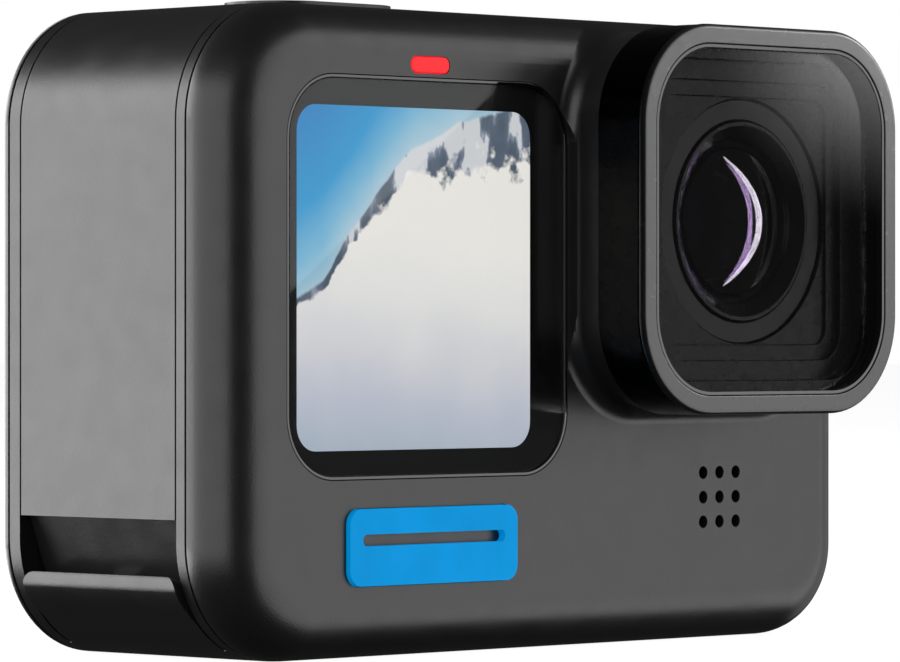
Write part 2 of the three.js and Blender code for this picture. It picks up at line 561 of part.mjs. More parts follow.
// ---------------------------------------------------------------- base plate and folding fingers
const FINGER_AXIS_Z = 1.65;
const FINGER_LOW = FINGER_AXIS_Z - FINGER_THICK / 2;

function basePlate() {
  const body = alongZ(roundedShape(0, FINGER_Y, BASE.w, BASE.d, BASE.r), 0, BASE.top, 3);
  const pocket = alongZ(roundedShape(0, FINGER_Y, POCKET.w, POCKET.d, POCKET.r), -1, POCKET.top, 8);
  const bores = [-1, 1].map((side) => [
    rodY(side * FINGER_HINGE_X, FINGER_AXIS_Z, PIN_RADIUS + GAP, -REAR, REAR),
    rodZ(side * BASE_SCREW_X, FINGER_Y, SCREW_SHANK + GAP, -1, 6),
    rodZ(side * BASE_SCREW_X, FINGER_Y, SCREW_HEAD + GAP, -1, 1.4),
  ]).flat();
  return bores.reduce((rest, bore) => rest.subtract(bore), body.subtract(pocket));
}

function finger(side) {
  const half = FINGER_WIDTH / 2;
  const tipCentre = FINGER_HINGE_X + FINGER_LENGTH - half;
  const shape = new THREE.Shape();
  shape.moveTo(FINGER_HINGE_X, FINGER_Y - half);
  shape.lineTo(tipCentre, FINGER_Y - half);
  shape.absarc(tipCentre, FINGER_Y, half, -Math.PI / 2, Math.PI / 2);
  shape.lineTo(FINGER_HINGE_X, FINGER_Y + half);
  shape.closePath();
  const plate = alongZ(shape, FINGER_LOW, FINGER_LOW + FINGER_THICK, 10);
  const knuckle = rodY(FINGER_HINGE_X, FINGER_AXIS_Z, FINGER_THICK / 2, FINGER_Y - half, FINGER_Y + half, 16);
  const eye = rodZ(tipCentre, FINGER_Y, FINGER_EYE, -5, 5, 20);
  const bore = rodY(FINGER_HINGE_X, FINGER_AXIS_Z, PIN_RADIUS + GAP, -REAR, REAR);
  const right = plate.add(knuckle).subtract(eye).subtract(bore);
  return side > 0 ? right : right.rotate([0, 0, 180]).translate([0, 2 * FINGER_Y, 0]);
}

piece('base_plate', basePlate(), blackPlastic);
for (const [side, word] of [[-1, 'left'], [1, 'right']]) {
  piece(`finger_${word}`, finger(side), blackPlastic);
  piece(`finger_pin_${word}`, rodY(side * FINGER_HINGE_X, FINGER_AXIS_Z, PIN_RADIUS,
    FINGER_Y - BASE.d / 2 + 0.2, FINGER_Y + BASE.d / 2 - 0.2), steel);
  piece(`base_screw_${word}`, rodZ(side * BASE_SCREW_X, FINGER_Y, SCREW_SHANK, 0.4, 6, 10)
    .add(rodZ(side * BASE_SCREW_X, FINGER_Y, SCREW_HEAD, 0.3, 1.1)), steel);
}

export default camera;
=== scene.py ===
"""Looks of a pocket action camera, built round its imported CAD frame.

Lengths are in millimetres until mesh_object() turns them into metres. The front
faces -Y, the lens side is +X and Z is up, as in the frame.
"""

import json
import math

import bmesh
import bpy
from mathutils import Matrix, Vector

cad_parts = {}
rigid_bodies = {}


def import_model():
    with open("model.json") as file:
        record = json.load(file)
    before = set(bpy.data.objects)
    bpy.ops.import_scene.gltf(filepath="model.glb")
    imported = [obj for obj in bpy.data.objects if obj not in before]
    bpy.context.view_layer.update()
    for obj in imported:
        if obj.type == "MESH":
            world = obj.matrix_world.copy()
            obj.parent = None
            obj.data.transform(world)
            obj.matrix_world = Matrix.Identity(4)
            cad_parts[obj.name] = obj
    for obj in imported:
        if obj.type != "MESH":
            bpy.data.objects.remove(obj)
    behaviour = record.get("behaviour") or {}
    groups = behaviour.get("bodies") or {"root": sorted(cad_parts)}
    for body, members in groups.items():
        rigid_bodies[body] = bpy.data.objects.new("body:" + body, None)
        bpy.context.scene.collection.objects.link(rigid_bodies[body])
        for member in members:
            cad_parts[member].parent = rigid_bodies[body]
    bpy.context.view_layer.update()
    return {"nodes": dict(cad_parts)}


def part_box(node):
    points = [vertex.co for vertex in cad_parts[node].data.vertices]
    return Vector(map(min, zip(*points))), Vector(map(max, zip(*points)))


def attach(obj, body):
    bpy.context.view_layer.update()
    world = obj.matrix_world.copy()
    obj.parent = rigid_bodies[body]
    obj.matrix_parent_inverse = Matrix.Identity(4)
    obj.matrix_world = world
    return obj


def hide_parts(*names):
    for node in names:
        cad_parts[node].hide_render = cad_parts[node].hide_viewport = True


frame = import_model()

MM = 0.001
SMOOTH = 20  # points on a quarter of a large corner
BIG = 60  # anywhere well outside the camera


# ---------------------------------------------------------------- measures from the frame
def span(node):
    """Lowest and highest corner of a CAD node, in millimetres."""
    low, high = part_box(node)
    return low / MM, high / MM


def middle(node):
    low, high = span(node)
    return (low + high) / 2


class Panel:
    """A rounded rectangle seen from the front: centre, size and corner radius, on +X `right`."""

    def __init__(self, x, z, w, h, r, right=None):
        self.x, self.z, self.w, self.h, self.r = x, z, w, h, r
        self.right = r if right is None else right

    def grown(self, by):
        return Panel(self.x, self.z, self.w + 2 * by, self.h + 2 * by, max(self.r + by, 0.05),
                     max(self.right + by, 0.05))

    def moved(self, by):
        return Panel(self.x + by, self.z, self.w, self.h, self.r)

    def ring(self, y, inset=0.0, steps=SMOOTH):
        """Points of the outline at depth y, anticlockwise as seen from the front."""
        points = []
        for quarter, (sx, sz) in enumerate(((1, 1), (-1, 1), (-1, -1), (1, -1))):
            r = max((self.right if sx > 0 else self.r) - inset, 0.05)
            ax, az = self.w / 2 - inset - r, self.h / 2 - inset - r
            for step in range(steps + 1):
                angle = (quarter + step / steps) * math.pi / 2
                points.append(Vector((self.x + sx * ax + r * math.cos(angle), y,
                                      self.z + sz * az + r * math.sin(angle))))
        return points


def panel_of(node, r):
    low, high = span(node)
    return Panel((low.x + high.x) / 2, (low.z + high.z) / 2, high.x - low.x, high.z - low.z, r)


CORNER = 9.2  # outline corner radius on the door side
LENS_CORNER = 7.5  # and on the lens side
FRONT = span("record_light")[0].y - 0.02  # plane of the front face
REAR = span("rear_housing")[1].y
BAND_LOW, BAND_HIGH = span("chassis_frame")
SEAM_Y = span("front_housing")[1].y
BAND_REAR = BAND_HIGH.y
FRONT_FILLET = SEAM_Y - FRONT
COVER_FRONT = span("lens_cover_frame")[0].y
BODY = Panel(0, (BAND_LOW.z + BAND_HIGH.z) / 2, BAND_HIGH.x - BAND_LOW.x, BAND_HIGH.z - BAND_LOW.z,
             CORNER, LENS_CORNER)
SCREEN = panel_of("front_screen_glass", 4.9)
PICTURE = panel_of("front_display", 2.0).moved(0.45)
COVER = panel_of("lens_cover_frame", 8.0)
LENS = middle("lens_barrel")
WALL = 1.8  # thickness of the middle band
SHELL = 1.5  # thickness of the front shell and the door


# ---------------------------------------------------------------- mesh building
AXIS_RADIUS = 1e-4  # stands in for a point on the axis of a turned body
SAME_POINT = 1e-7  # metres within which two points of a new mesh are one
CLEAN_POINT = 2e-6  # and of a mesh that booleans have cut
SHARP_ANGLE = math.radians(34)
FACE_WEIGHT = 80  # how strongly large faces keep their own shading


def mesh_object(name, verts, faces):
    mesh = bpy.data.meshes.new(name)
    mesh.from_pydata([tuple(Vector(v) * MM) for v in verts], [], faces)
    mesh.validate()
    made = bpy.data.objects.new(name, mesh)
    bpy.context.scene.collection.objects.link(made)
    work = bmesh.new()
    work.from_mesh(mesh)
    bmesh.ops.remove_doubles(work, verts=work.verts, dist=SAME_POINT)
    bmesh.ops.recalc_face_normals(work, faces=work.faces)
    work.to_mesh(mesh)
    work.free()
    return made


def loft(name, rings, closed=False):
    """Skin over rings of equal length. Ends are capped, unless the last ring meets the first."""
    count = len(rings[0])
    verts = [point for ring in rings for point in ring]
    faces = []
    spans = len(rings) if closed else len(rings) - 1
    for i in range(spans):
        a, b = i * count, ((i + 1) % len(rings)) * count
        for j in range(count):
            k = (j + 1) % count
            faces.append((a + j, a + k, b + k, b + j))
    if not closed:
        faces.append(tuple(range(count)))
        faces.append(tuple((len(rings) - 1) * count + j for j in range(count)))
    return mesh_object(name, verts, faces)


def slab(name, panel, y0, y1, steps=SMOOTH):
    return loft(name, [panel.ring(y0, steps=steps), panel.ring(y1, steps=steps)])


def prism(name, section, y0, y1):
    """A straight bar along Y, from its section (x, z)."""
    return loft(name, [[Vector((x, y, z)) for x, z in section] for y in (y0, y1)])


def box(name, x0, x1, y0, y1, z0, z1):
    return prism(name, [(x0, z0), (x1, z0), (x1, z1), (x0, z1)], y0, y1)


def quarter_turns(steps):
    """Angles from 0 to a quarter turn."""
    return [math.pi / 2 * step / steps for step in range(steps + 1)]


def circle(x, z, r, y, count):
    return [Vector((x + r * math.cos(a), y, z + r * math.sin(a)))
            for a in (2 * math.pi * i / count for i in range(count))]


def rod(name, x, z, r, y0, y1, count=48):
    return loft(name, [circle(x, z, r, y0, count), circle(x, z, r, y1, count)])


def turned(name, profile, x, z, count=96):
    """Body of revolution about an axis along Y, from a closed profile of (radius, y)."""
    rings = [circle(x, z, max(r, AXIS_RADIUS), y, count) for r, y in profile]
    return loft(name, rings, closed=all(r > 0 for r, _ in profile))


def combine(target, others, operation):
    """Boolean of target with the other objects, which are used up."""
    bag = bpy.data.collections.new("tools")
    bpy.context.scene.collection.children.link(bag)
    for other in others:
        for owner in list(other.users_collection):
            owner.objects.unlink(other)
        bag.objects.link(other)
    tool = target.modifiers.new("cut", "BOOLEAN")
    tool.operation = operation
    tool.operand_type = "COLLECTION"
    tool.collection = bag
    tool.solver = "MANIFOLD"
    settle(target)
    for other in list(bag.objects):
        bpy.data.objects.remove(other)
    bpy.data.collections.remove(bag)
    return target


def carve(target, *cutters):
    return combine(target, cutters, "DIFFERENCE")


def unite(target, *others):
    return combine(target, others, "UNION")


def clip(target, *others):
    return combine(target, others, "INTERSECT")


def settle(made):
    """Applies the modifiers of an object to its mesh."""
    bpy.context.view_layer.update()
    graph = bpy.context.evaluated_depsgraph_get()
    solved = bpy.data.meshes.new_from_object(made.evaluated_get(graph))
    old = made.data
    made.modifiers.clear()
    made.data = solved
    bpy.data.meshes.remove(old)


def soften(made, width=0.12, segments=3):
    """Rounds the sharp edges by a small radius and shades the rest smooth."""
    work = bmesh.new()
    work.from_mesh(made.data)
    bmesh.ops.remove_doubles(work, verts=work.verts, dist=CLEAN_POINT)
    bmesh.ops.dissolve_degenerate(work, edges=work.edges, dist=CLEAN_POINT)
    work.to_mesh(made.data)
    work.free()
    if width:
        edge = made.modifiers.new("edges", "BEVEL")
        edge.width = width * MM
        edge.segments = segments
        edge.limit_method = "ANGLE"
        edge.angle_limit = SHARP_ANGLE
        edge.use_clamp_overlap = True
        edge.miter_outer = "MITER_ARC"
        settle(made)
    for face in made.data.polygons:
        face.use_smooth = True
    made.data.set_sharp_from_angle(angle=SHARP_ANGLE)
    flat = made.modifiers.new("flat faces", "WEIGHTED_NORMAL")
    flat.keep_sharp = True
    flat.weight = FACE_WEIGHT


# ---------------------------------------------------------------- materials
class Finish:
    """A Principled material whose nodes are added one layer at a time."""

    def __init__(self, name, color, roughness, **sockets):
        self.material = bpy.data.materials.new(name)
        self.material.use_nodes = True
        self.tree = self.material.node_tree
        self.shader = self.tree.nodes["Principled BSDF"]
        self.color, self.base_roughness = color, roughness
        self.shader.inputs["Base Color"].default_value = (*color, 1)
        self.shader.inputs["Roughness"].default_value = roughness
        for socket, value in sockets.items():
            self.set(socket, value)
        self.place = self.tree.nodes.new("ShaderNodeTexCoord").outputs["Object"]
        self.height = None

    def set(self, socket, value):
        """Sets a shader socket; underscores in its name stand for spaces."""
        self.shader.inputs[socket.replace("_", " ")].default_value = value

    def node(self, kind, **values):
        made = self.tree.nodes.new(kind)
        for key, value in values.items():
            if hasattr(made, key):
                setattr(made, key, value)
            else:
                made.inputs[key.replace("_", " ")].default_value = value
        return made

    def link(self, source, target):
        self.tree.links.new(source, target)

    def stretch(self, x, y, z):
        mapping = self.node("ShaderNodeMapping")
        mapping.inputs["Scale"].default_value = (x, y, z)
        self.link(self.place, mapping.inputs["Vector"])
        return mapping.outputs["Vector"]

    def noise(self, size, detail=3.0, place=None):
        """Noise whose features are about `size` millimetres across."""
        made = self.node("ShaderNodeTexNoise", Scale=1 / (size * MM), Detail=detail)
        self.link(place or self.place, made.inputs["Vector"])
        return made.outputs["Fac"]

    def cells(self, size, feature="F1"):
        made = self.node("ShaderNodeTexVoronoi", Scale=1 / (size * MM), feature=feature)
        self.link(self.place, made.inputs["Vector"])
        return made.outputs["Distance"]

    def remap(self, value, low, high, from_low=0.3, from_high=0.7):
        made = self.node("ShaderNodeMapRange")
        made.inputs["From Min"].default_value = from_low
        made.inputs["From Max"].default_value = from_high
        made.inputs["To Min"].default_value = low
        made.inputs["To Max"].default_value = high
        self.link(value, made.inputs["Value"])
        return made.outputs["Result"]

    def tone(self, value, spread, tint=(1, 1, 1)):
        """Lets a texture lighten and darken the colour by `spread`, towards a tint."""
        mix = self.node("ShaderNodeMix", data_type="RGBA")
        dark = [c * (1 - spread) for c in self.color]
        light = [c * (1 + spread) * t for c, t in zip(self.color, tint)]
        mix.inputs["A"].default_value = (*dark, 1)
        mix.inputs["B"].default_value = (*light, 1)
        self.link(self.remap(value, 0, 1), mix.inputs["Factor"])
        self.link(mix.outputs["Result"], self.shader.inputs["Base Color"])
        return self

    def wear(self, value, spread):
        """Lets a texture vary the roughness by `spread` each way."""
        self.link(self.remap(value, self.base_roughness - spread, self.base_roughness + spread),
                  self.shader.inputs["Roughness"])
        return self

    def relief(self, value, depth):
        """Adds a bump of `depth` millimetres; each call lies over the last."""
        bump = self.node("ShaderNodeBump", Strength=1.0, Distance=depth * MM)
        self.link(value, bump.inputs["Height"])
        if self.height is not None:
            self.link(self.height, bump.inputs["Normal"])
        self.height = bump.outputs["Normal"]
        self.link(self.height, self.shader.inputs["Normal"])
        return self


def soft_touch(name, color, roughness, grain):
    """Moulded rubberised plastic: fine pebbled grain over a faint waviness."""
    made = Finish(name, color, roughness, Specular_IOR_Level=0.5)
    made.tone(made.noise(6, 4), 0.06).wear(made.noise(2.2, 5), 0.035)
    made.relief(made.noise(0.16, 2), 0.012 * grain).relief(made.cells(0.22), 0.008 * grain)
    return made.material


def satin_plastic(name, color, roughness=0.4, grain=1.0, specular=0.5):
    made = Finish(name, color, roughness, Specular_IOR_Level=specular)
    made.tone(made.noise(4, 3), 0.1).wear(made.noise(1.4, 4), 0.05)
    made.relief(made.noise(0.12, 2), 0.006 * grain)
    return made.material


def clear_glass(name, color, roughness=0.0, ior=1.5):
    made = Finish(name, color, roughness, Transmission_Weight=1.0, IOR=ior)
    made.link(made.remap(made.noise(9, 2), roughness, roughness + 0.015), made.shader.inputs["Roughness"])
    return made.material


def thin_glass(name, mirrored):
    """Sheet glass that lets light straight through and mirrors a small share of it."""
    made = Finish(name, (1.0, 1.0, 1.0), 0.0, Metallic=1.0, Alpha=mirrored)
    made.link(made.remap(made.noise(9, 2), 0.0, 0.015), made.shader.inputs["Roughness"])
    return made.material


def black_glass(name):
    made = Finish(name, (0.004, 0.004, 0.005), 0.03, IOR=1.52, Coat_Weight=0.5, Coat_Roughness=0.01)
    made.tone(made.noise(7, 2), 0.2).wear(made.noise(5, 3), 0.015)
    return made.material


def coated_glass(name, color, tint, ior):
    """Deep dark lens glass whose anti-reflection coating tints its highlights."""
    made = Finish(name, color, 0.02, IOR=ior)
    made.set("Specular_Tint", (*tint, 1))
    made.tone(made.noise(3, 2), 0.3, tint).wear(made.noise(2, 2), 0.008)
    return made.material


def metal(name, color, roughness, lay=(1, 1, 1)):
    """Plain metal with fine tool marks that run along the axis given the small scale."""
    made = Finish(name, color, roughness, Metallic=1.0)
    marks = made.noise(0.12, 4, made.stretch(*lay))
    made.tone(made.noise(2.5, 3), 0.12).wear(marks, 0.08).relief(marks, 0.004)
    return made.material


def circuit(name):
    made = Finish(name, (0.012, 0.07, 0.035), 0.4, Coat_Weight=0.4, Coat_Roughness=0.2)
    tracks = made.node("ShaderNodeTexBrick", offset=0.37)
    tracks.inputs["Scale"].default_value = 1 / (1.6 * MM)
    tracks.inputs["Mortar Size"].default_value = 0.04
    made.link(made.place, tracks.inputs["Vector"])
    made.tone(made.noise(0.8, 4), 0.3).relief(tracks.outputs["Fac"], 0.03).wear(made.noise(0.5, 2), 0.1)
    return made.material


def rubber(name, color):
    made = Finish(name, color, 0.65)
    made.tone(made.noise(1.2, 4), 0.12).wear(made.noise(0.6, 3), 0.1).relief(made.noise(0.1, 3), 0.01)
    return made.material


def printed_wrap(name):
    """Battery sleeve: blue with a faint weave from the film."""
    made = Finish(name, (0.02, 0.1, 0.26), 0.35, Coat_Weight=0.3, Coat_Roughness=0.15)
    made.tone(made.noise(3, 4), 0.12).wear(made.noise(0.8, 4), 0.08).relief(made.noise(1.6, 2), 0.02)
    return made.material


def lamp_window(name, color, glow):
    """Translucent light window that glows a little, unevenly."""
    made = Finish(name, color, 0.3, Specular_IOR_Level=0.15, Coat_Weight=0.05, Coat_Roughness=0.1)
    made.set("Emission_Color", (*color, 1))
    strength = made.remap(made.noise(0.9, 2), glow * 0.85, glow * 1.15)
    made.link(strength, made.shader.inputs["Emission Strength"])
    made.relief(made.noise(0.25, 2), 0.004)
    return made.material


def set_glow(material, color, strength):
    shader = material.node_tree.nodes["Principled BSDF"]
    shader.inputs["Emission Color"].default_value = (*color, 1)
    shader.inputs["Emission Strength"].default_value = strength


body_coat = soft_touch("body_coat", (0.013, 0.013, 0.014), 0.33, 0.5)
door_coat = soft_touch("door_coat", (0.014, 0.014, 0.0145), 0.33, 0.5)
rim_coat = satin_plastic("rim_coat", (0.03, 0.03, 0.031), 0.24, 0.4, 0.6)
gloss_black = satin_plastic("gloss_black", (0.003, 0.003, 0.0033), 0.27, 0.3, 0.09)
satin_black = satin_plastic("satin_black", (0.012, 0.012, 0.013), 0.34, 1.0)
button_black = satin_plastic("button_black", (0.01, 0.01, 0.011), 0.38, 1.6)
matt_black = satin_plastic("matt_black", (0.006, 0.006, 0.006), 0.6, 1.5)
well_black = satin_plastic("well_black", (0.004, 0.004, 0.0043), 0.34, 0.4, 0.12)
screen_glass = clear_glass("screen_glass", (0.94, 0.95, 0.96))
cover_glass = thin_glass("cover_glass", 0.05)
dark_glass = black_glass("dark_glass")
coated_lens = clear_glass("coated_lens", (0.36, 0.27, 0.45), 0.0, 1.6)
inner_lens = coated_glass("inner_lens", (0.02, 0.006, 0.03), (0.8, 0.4, 1.0), 1.8)
steel = metal("steel", (0.56, 0.56, 0.57), 0.32, (1, 0.15, 1))
aluminium = metal("aluminium", (0.7, 0.71, 0.72), 0.4, (1, 1, 0.1))
gold = metal("gold", (0.85, 0.62, 0.28), 0.3)
board_mask = circuit("board_mask")
silicone = rubber("silicone", (0.22, 0.05, 0.025))
cell_wrap = printed_wrap("cell_wrap")
accent_blue = satin_plastic("accent_blue", (0.0, 0.235, 0.58), 0.5, 0.6, 0.05)
# Painted light: the blue badge plate glows a little, though it is no lamp, so that it looks brightly lit
set_glow(accent_blue, (0.0, 0.29, 0.68), 0.48)
light_red = lamp_window("light_red", (0.6, 0.006, 0.01), 1.5)


# ---------------------------------------------------------------- putting pieces in place
def place(made, body, material, slot, nodes=(), width=0.12, segments=3):
    """Finishes a piece: softened edges, material, the body it rides on and the nodes it replaces."""
    soften(made, width, segments)
    made.data.materials.clear()
    made.data.materials.append(material)
    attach(made, body)
    if nodes:
        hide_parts(*nodes)


def dress(node, material):
    """Gives a CAD node that is shown as it is a material."""
    mesh = frame["nodes"][node].data
    mesh.materials.clear()
    mesh.materials.append(material)


# ---------------------------------------------------------------- front shell
FILLET_STEPS = 14
FILLET_POWER = 2.15  # 2 is a round edge, more is squarer
NECK_STEPS = 12
NECK_FLARE = 1.5  # how far the foot of the neck spreads out
NECK_INSET = 0.4  # step from the lens cover's outline in to the neck's
NECK_SINK = 0.02  # how far the foot of the neck dips under the face, so that the two solids cross
LENS_ROOM = 12.7
MIC = middle("microphone_board")
MIC_PITCH, MIC_RADIUS = 2.0, 0.52
BADGE, BADGE_GAP, BADGE_POCKET = panel_of("accent_badge", 1.2), 0.06, 0.4
LIGHT, LIGHT_GAP = panel_of("record_light", 0.6), 0.06
SCREEN_GAP, SCREEN_POCKET = 0.1, 1.6
PANE_INSET = 0.22  # from a pane's outline in to its clear part; its edge fills the rest
BORDER_FRONT = FRONT + 0.47  # the black mask lies just behind the screen glass
THROUGH = SEAM_Y + 1  # a depth that is surely behind the front shell


def fillet_depth(inset, radius):
    """Height of a rounded edge above its foot, at a distance in from the outline."""
    reach = min(inset / radius, 1.0)
    return radius * (1 - (1 - reach) ** FILLET_POWER) ** (1 / FILLET_POWER)


def front_surface(x, z):
    """Depth y of the front shell's outer face over a point of its outline."""
    corner = BODY.right if x > BODY.x else BODY.r
    dx, dz = abs(x - BODY.x) - BODY.w / 2 + corner, abs(z - BODY.z) - BODY.h / 2 + corner
    inset = corner - (math.hypot(dx, dz) if dx > 0 and dz > 0 else max(dx, dz))
    return SEAM_Y - fillet_depth(max(inset, 0.0), FRONT_FILLET)


def pillow(name, inset, y_back):
    """The body outline with its front edge rounded, as a closed solid."""
    rings = [BODY.ring(y_back, inset)] if y_back > SEAM_Y else []
    top = FRONT_FILLET - inset
    for angle in quarter_turns(FILLET_STEPS):
        off = top * (1 - math.cos(angle))
        rings.append(BODY.ring(SEAM_Y - fillet_depth(off, top), inset + off))
    rings.append(BODY.ring(FRONT + inset, FRONT_FILLET + 0.6))
    return loft(name, rings)


def neck(name, panel, y_front):
    """Square neck of the lens housing, whose foot flares out onto the curved front face."""
    rings = [panel.ring(y_front)]
    for angle in quarter_turns(NECK_STEPS):
        off = NECK_FLARE * (1 - math.cos(angle))
        fall = math.sqrt(max(NECK_FLARE ** 2 - (NECK_FLARE - off) ** 2, 0.0))
        rise = NECK_FLARE - fall - NECK_SINK
        ring = []
        for point in panel.grown(off).ring(0):
            x = min(point.x, BODY.x + BODY.w / 2 - NECK_SINK)
            z = min(point.z, BODY.z + BODY.h / 2 - NECK_SINK)
            ring.append(Vector((x, front_surface(x, z) - rise, z)))
        rings.append(ring)
    rings.append([Vector((p.x, SEAM_Y - 0.3, p.z)) for p in rings[-1]])
    return loft(name, rings)


def front_shell():
    shell = pillow("front_shell", 0.0, SEAM_Y)
    unite(shell, neck("collar", COVER.grown(-NECK_INSET), span("front_housing")[0].y))
    carve(shell, pillow("hollow", SHELL, THROUGH))
    tools = [
        rod("bore", LENS.x, LENS.z, LENS_ROOM, COVER_FRONT, THROUGH, 128),
        slab("screen_pocket", SCREEN.grown(SCREEN_GAP), FRONT - 1, FRONT + SCREEN_POCKET),
        slab("picture_window", PICTURE.grown(0.3), FRONT, THROUGH, 8),
        slab("light_window", LIGHT.grown(LIGHT_GAP), FRONT - 1, THROUGH, 10),
        slab("badge_pocket", BADGE.grown(BADGE_GAP), FRONT - 1, FRONT + BADGE_POCKET, 8),
    ]
    for row in (-1, 0, 1):
        for column in (-1, 0, 1):
            tools.append(rod("mic_hole", MIC.x + column * MIC_PITCH, MIC.z + row * MIC_PITCH,
                             MIC_RADIUS, FRONT - 1, THROUGH, 32))
    carve(shell, *tools)
    place(shell, "camera_body", body_coat, "body_coat", ["front_housing"], 0.1)


def pane_edge(name, panel, y_front, body):
    """Polished chamfer that runs round a pane."""
    edge = slab(name, panel.grown(0.04), y_front, y_front + 0.55)
    carve(edge, slab("opening", panel.grown(-0.2), y_front - 1, y_front + 2))
    place(edge, body, dark_glass, "screen_glass", (), 0.08, 3)


def front_screen():
    """The clear pane, its polished edge and the black mask round the picture."""
    pane = slab("screen_glass", SCREEN.grown(-PANE_INSET), FRONT + 0.04, FRONT + 0.45)
    place(pane, "camera_body", screen_glass, "screen_glass", ["front_screen_glass"], 0.05, 2)
    pane.visible_shadow = False
    pane_edge("screen_edge", SCREEN, FRONT + 0.02, "camera_body")
    border = slab("screen_border", SCREEN.grown(-0.15), BORDER_FRONT, BORDER_FRONT + 0.06)
    carve(border, slab("opening", PICTURE, FRONT, 0, 10))
    place(border, "camera_body", button_black, "dark_panel", (), 0)


def badge_and_light():
    """The blue plate with its plain slot, which glows a little as painted light, and the window of the
    record light.
    """
    badge = slab("badge", BADGE, span("accent_badge")[0].y, FRONT + 0.3, 8)
    slot = Panel(BADGE.x, BADGE.z + 0.55, BADGE.w - 2.8, 0.9, 0.42)
    carve(badge, slab("slot", slot, FRONT - 2, FRONT + 2, 8))
    place(badge, "camera_body", accent_blue, "accent_blue", ["accent_badge"], 0.1)
    light = slab("record_window", LIGHT.grown(0.02), FRONT - 0.02, FRONT + 2.6, 10)
    place(light, "camera_body", light_red, "light_red", ["record_light"], 0.12)


front_shell()
front_screen()
badge_and_light()


# ---------------------------------------------------------------- picture on the front screen
def snow_scene():
    """A lit picture of a snow slope under a blue sky, made from smooth shapes and noise."""
    made = Finish("snow_scene", (0.02, 0.02, 0.02), 0.4)
    low, high = span("front_display")
    split = made.node("ShaderNodeSeparateXYZ")
    made.link(made.place, split.inputs[0])

    def math_node(operation, a, b=None):
        step = made.node("ShaderNodeMath", operation=operation)
        for socket, value in enumerate((a, b)):
            if value is None:
                continue
            if isinstance(value, (int, float)):
                step.inputs[socket].default_value = value
            else:
                made.link(value, step.inputs[socket])
        return step.outputs[0]

    def ramp(value, stops):
        scale = made.node("ShaderNodeValToRGB")
        while len(scale.color_ramp.elements) < len(stops):
            scale.color_ramp.elements.new(0.5)
        for element, (at, color) in zip(scale.color_ramp.elements, stops):
            element.position, element.color = at, (*color, 1)
        made.link(value, scale.inputs[0])
        return scale.outputs[0]

    def blend(factor, a, b):
        mix = made.node("ShaderNodeMix", data_type="RGBA")
        made.link(factor, mix.inputs["Factor"])
        for socket, value in (("A", a), ("B", b)):
            made.link(value, mix.inputs[socket])
        return mix.outputs["Result"]

    def curve(value, points):
        """A smooth curve through (position, height) points, with heights halved to stay under one."""
        halves = [(at, (height / 2,) * 3) for at, height in points]
        return math_node("MULTIPLY", ramp(value, halves), 2.0)

    def centred_noise(size, detail):
        return math_node("SUBTRACT", made.noise(size, detail), 0.5)

    # u runs from 0 at the left edge to 1 at the right, v from 0 at the bottom to 1 at the top
    u = made.remap(split.outputs["X"], 0, 1, low.x * MM, high.x * MM)
    v = made.remap(split.outputs["Z"], 0, 1, low.z * MM, high.z * MM)
    rough, fine = centred_noise(5.5, 7), centred_noise(1.3, 6)

    # Height above the ridge line, which climbs from the left edge to the top right
    line = curve(u, [(0, 0.43), (0.13, 0.5), (0.26, 0.64), (0.37, 0.76), (0.5, 0.88), (0.7, 0.96),
                     (1, 1.02)])
    above = math_node("SUBTRACT", v, math_node("ADD", line, math_node("MULTIPLY", rough, 0.07)))
    far = math_node("ADD", above, math_node("MULTIPLY", fine, 0.03))
    sky = ramp(far, [(0.0, (0.4, 0.58, 0.68)), (0.1, (0.17, 0.46, 0.66)), (0.24, (0.0, 0.3, 0.62)),
                     (0.5, (0.0, 0.22, 0.54))])
    # Grey rocks hang below the ridge, in a band that widens to the right
    streaks = made.noise(3.2, 9, made.stretch(1.0, 1.0, 0.4))
    rock_tone = made.remap(streaks, 0, 1, 0.44, 0.6)
    rock = ramp(rock_tone, [(0.0, (0.07, 0.1, 0.14)), (0.6, (0.12, 0.15, 0.2)), (0.78, (0.3, 0.34, 0.42)),
                            (0.86, (0.66, 0.68, 0.7))])
    shade = math_node("ADD", math_node("ADD", math_node("MULTIPLY", v, 1.17), 0.063),
                      math_node("ADD", math_node("MULTIPLY", u, 0.11), math_node("MULTIPLY", rough, 0.2)))
    snow = ramp(shade, [(0.05, (0.4, 0.47, 0.56)), (0.28, (0.54, 0.57, 0.65)), (0.46, (0.7, 0.7, 0.72)),
                        (0.62, (0.82, 0.81, 0.79)), (0.85, (0.9, 0.88, 0.83))])
    # The parts meet along the ridge line and along the ragged lower edge of the rocks
    depth = curve(u, [(0, 0.02), (0.3, 0.04), (0.5, 0.07), (0.68, 0.13), (1, 0.16)])
    band = math_node("ADD", math_node("DIVIDE", above, depth), math_node("MULTIPLY", fine, 2.2))
    in_sky = made.remap(above, 0, 1, -0.005, 0.005)
    in_rock = made.remap(band, 0, 1, -1.2, -0.9)
    picture = blend(in_sky, blend(in_rock, snow, rock), sky)
    made.link(picture, made.shader.inputs["Emission Color"])
    made.set("Emission_Strength", 1.0)
    return made.material


def display_panel():
    """The lit panel, whose picture does not light the parts round it."""
    panel = slab("display_panel", PICTURE, FRONT + 0.56, span("front_display")[1].y, 8)
    place(panel, "camera_body", snow_scene(), "display_panel", ["front_display"], 0.05, 2)
    panel.visible_diffuse = False
    panel.visible_glossy = False


display_panel()


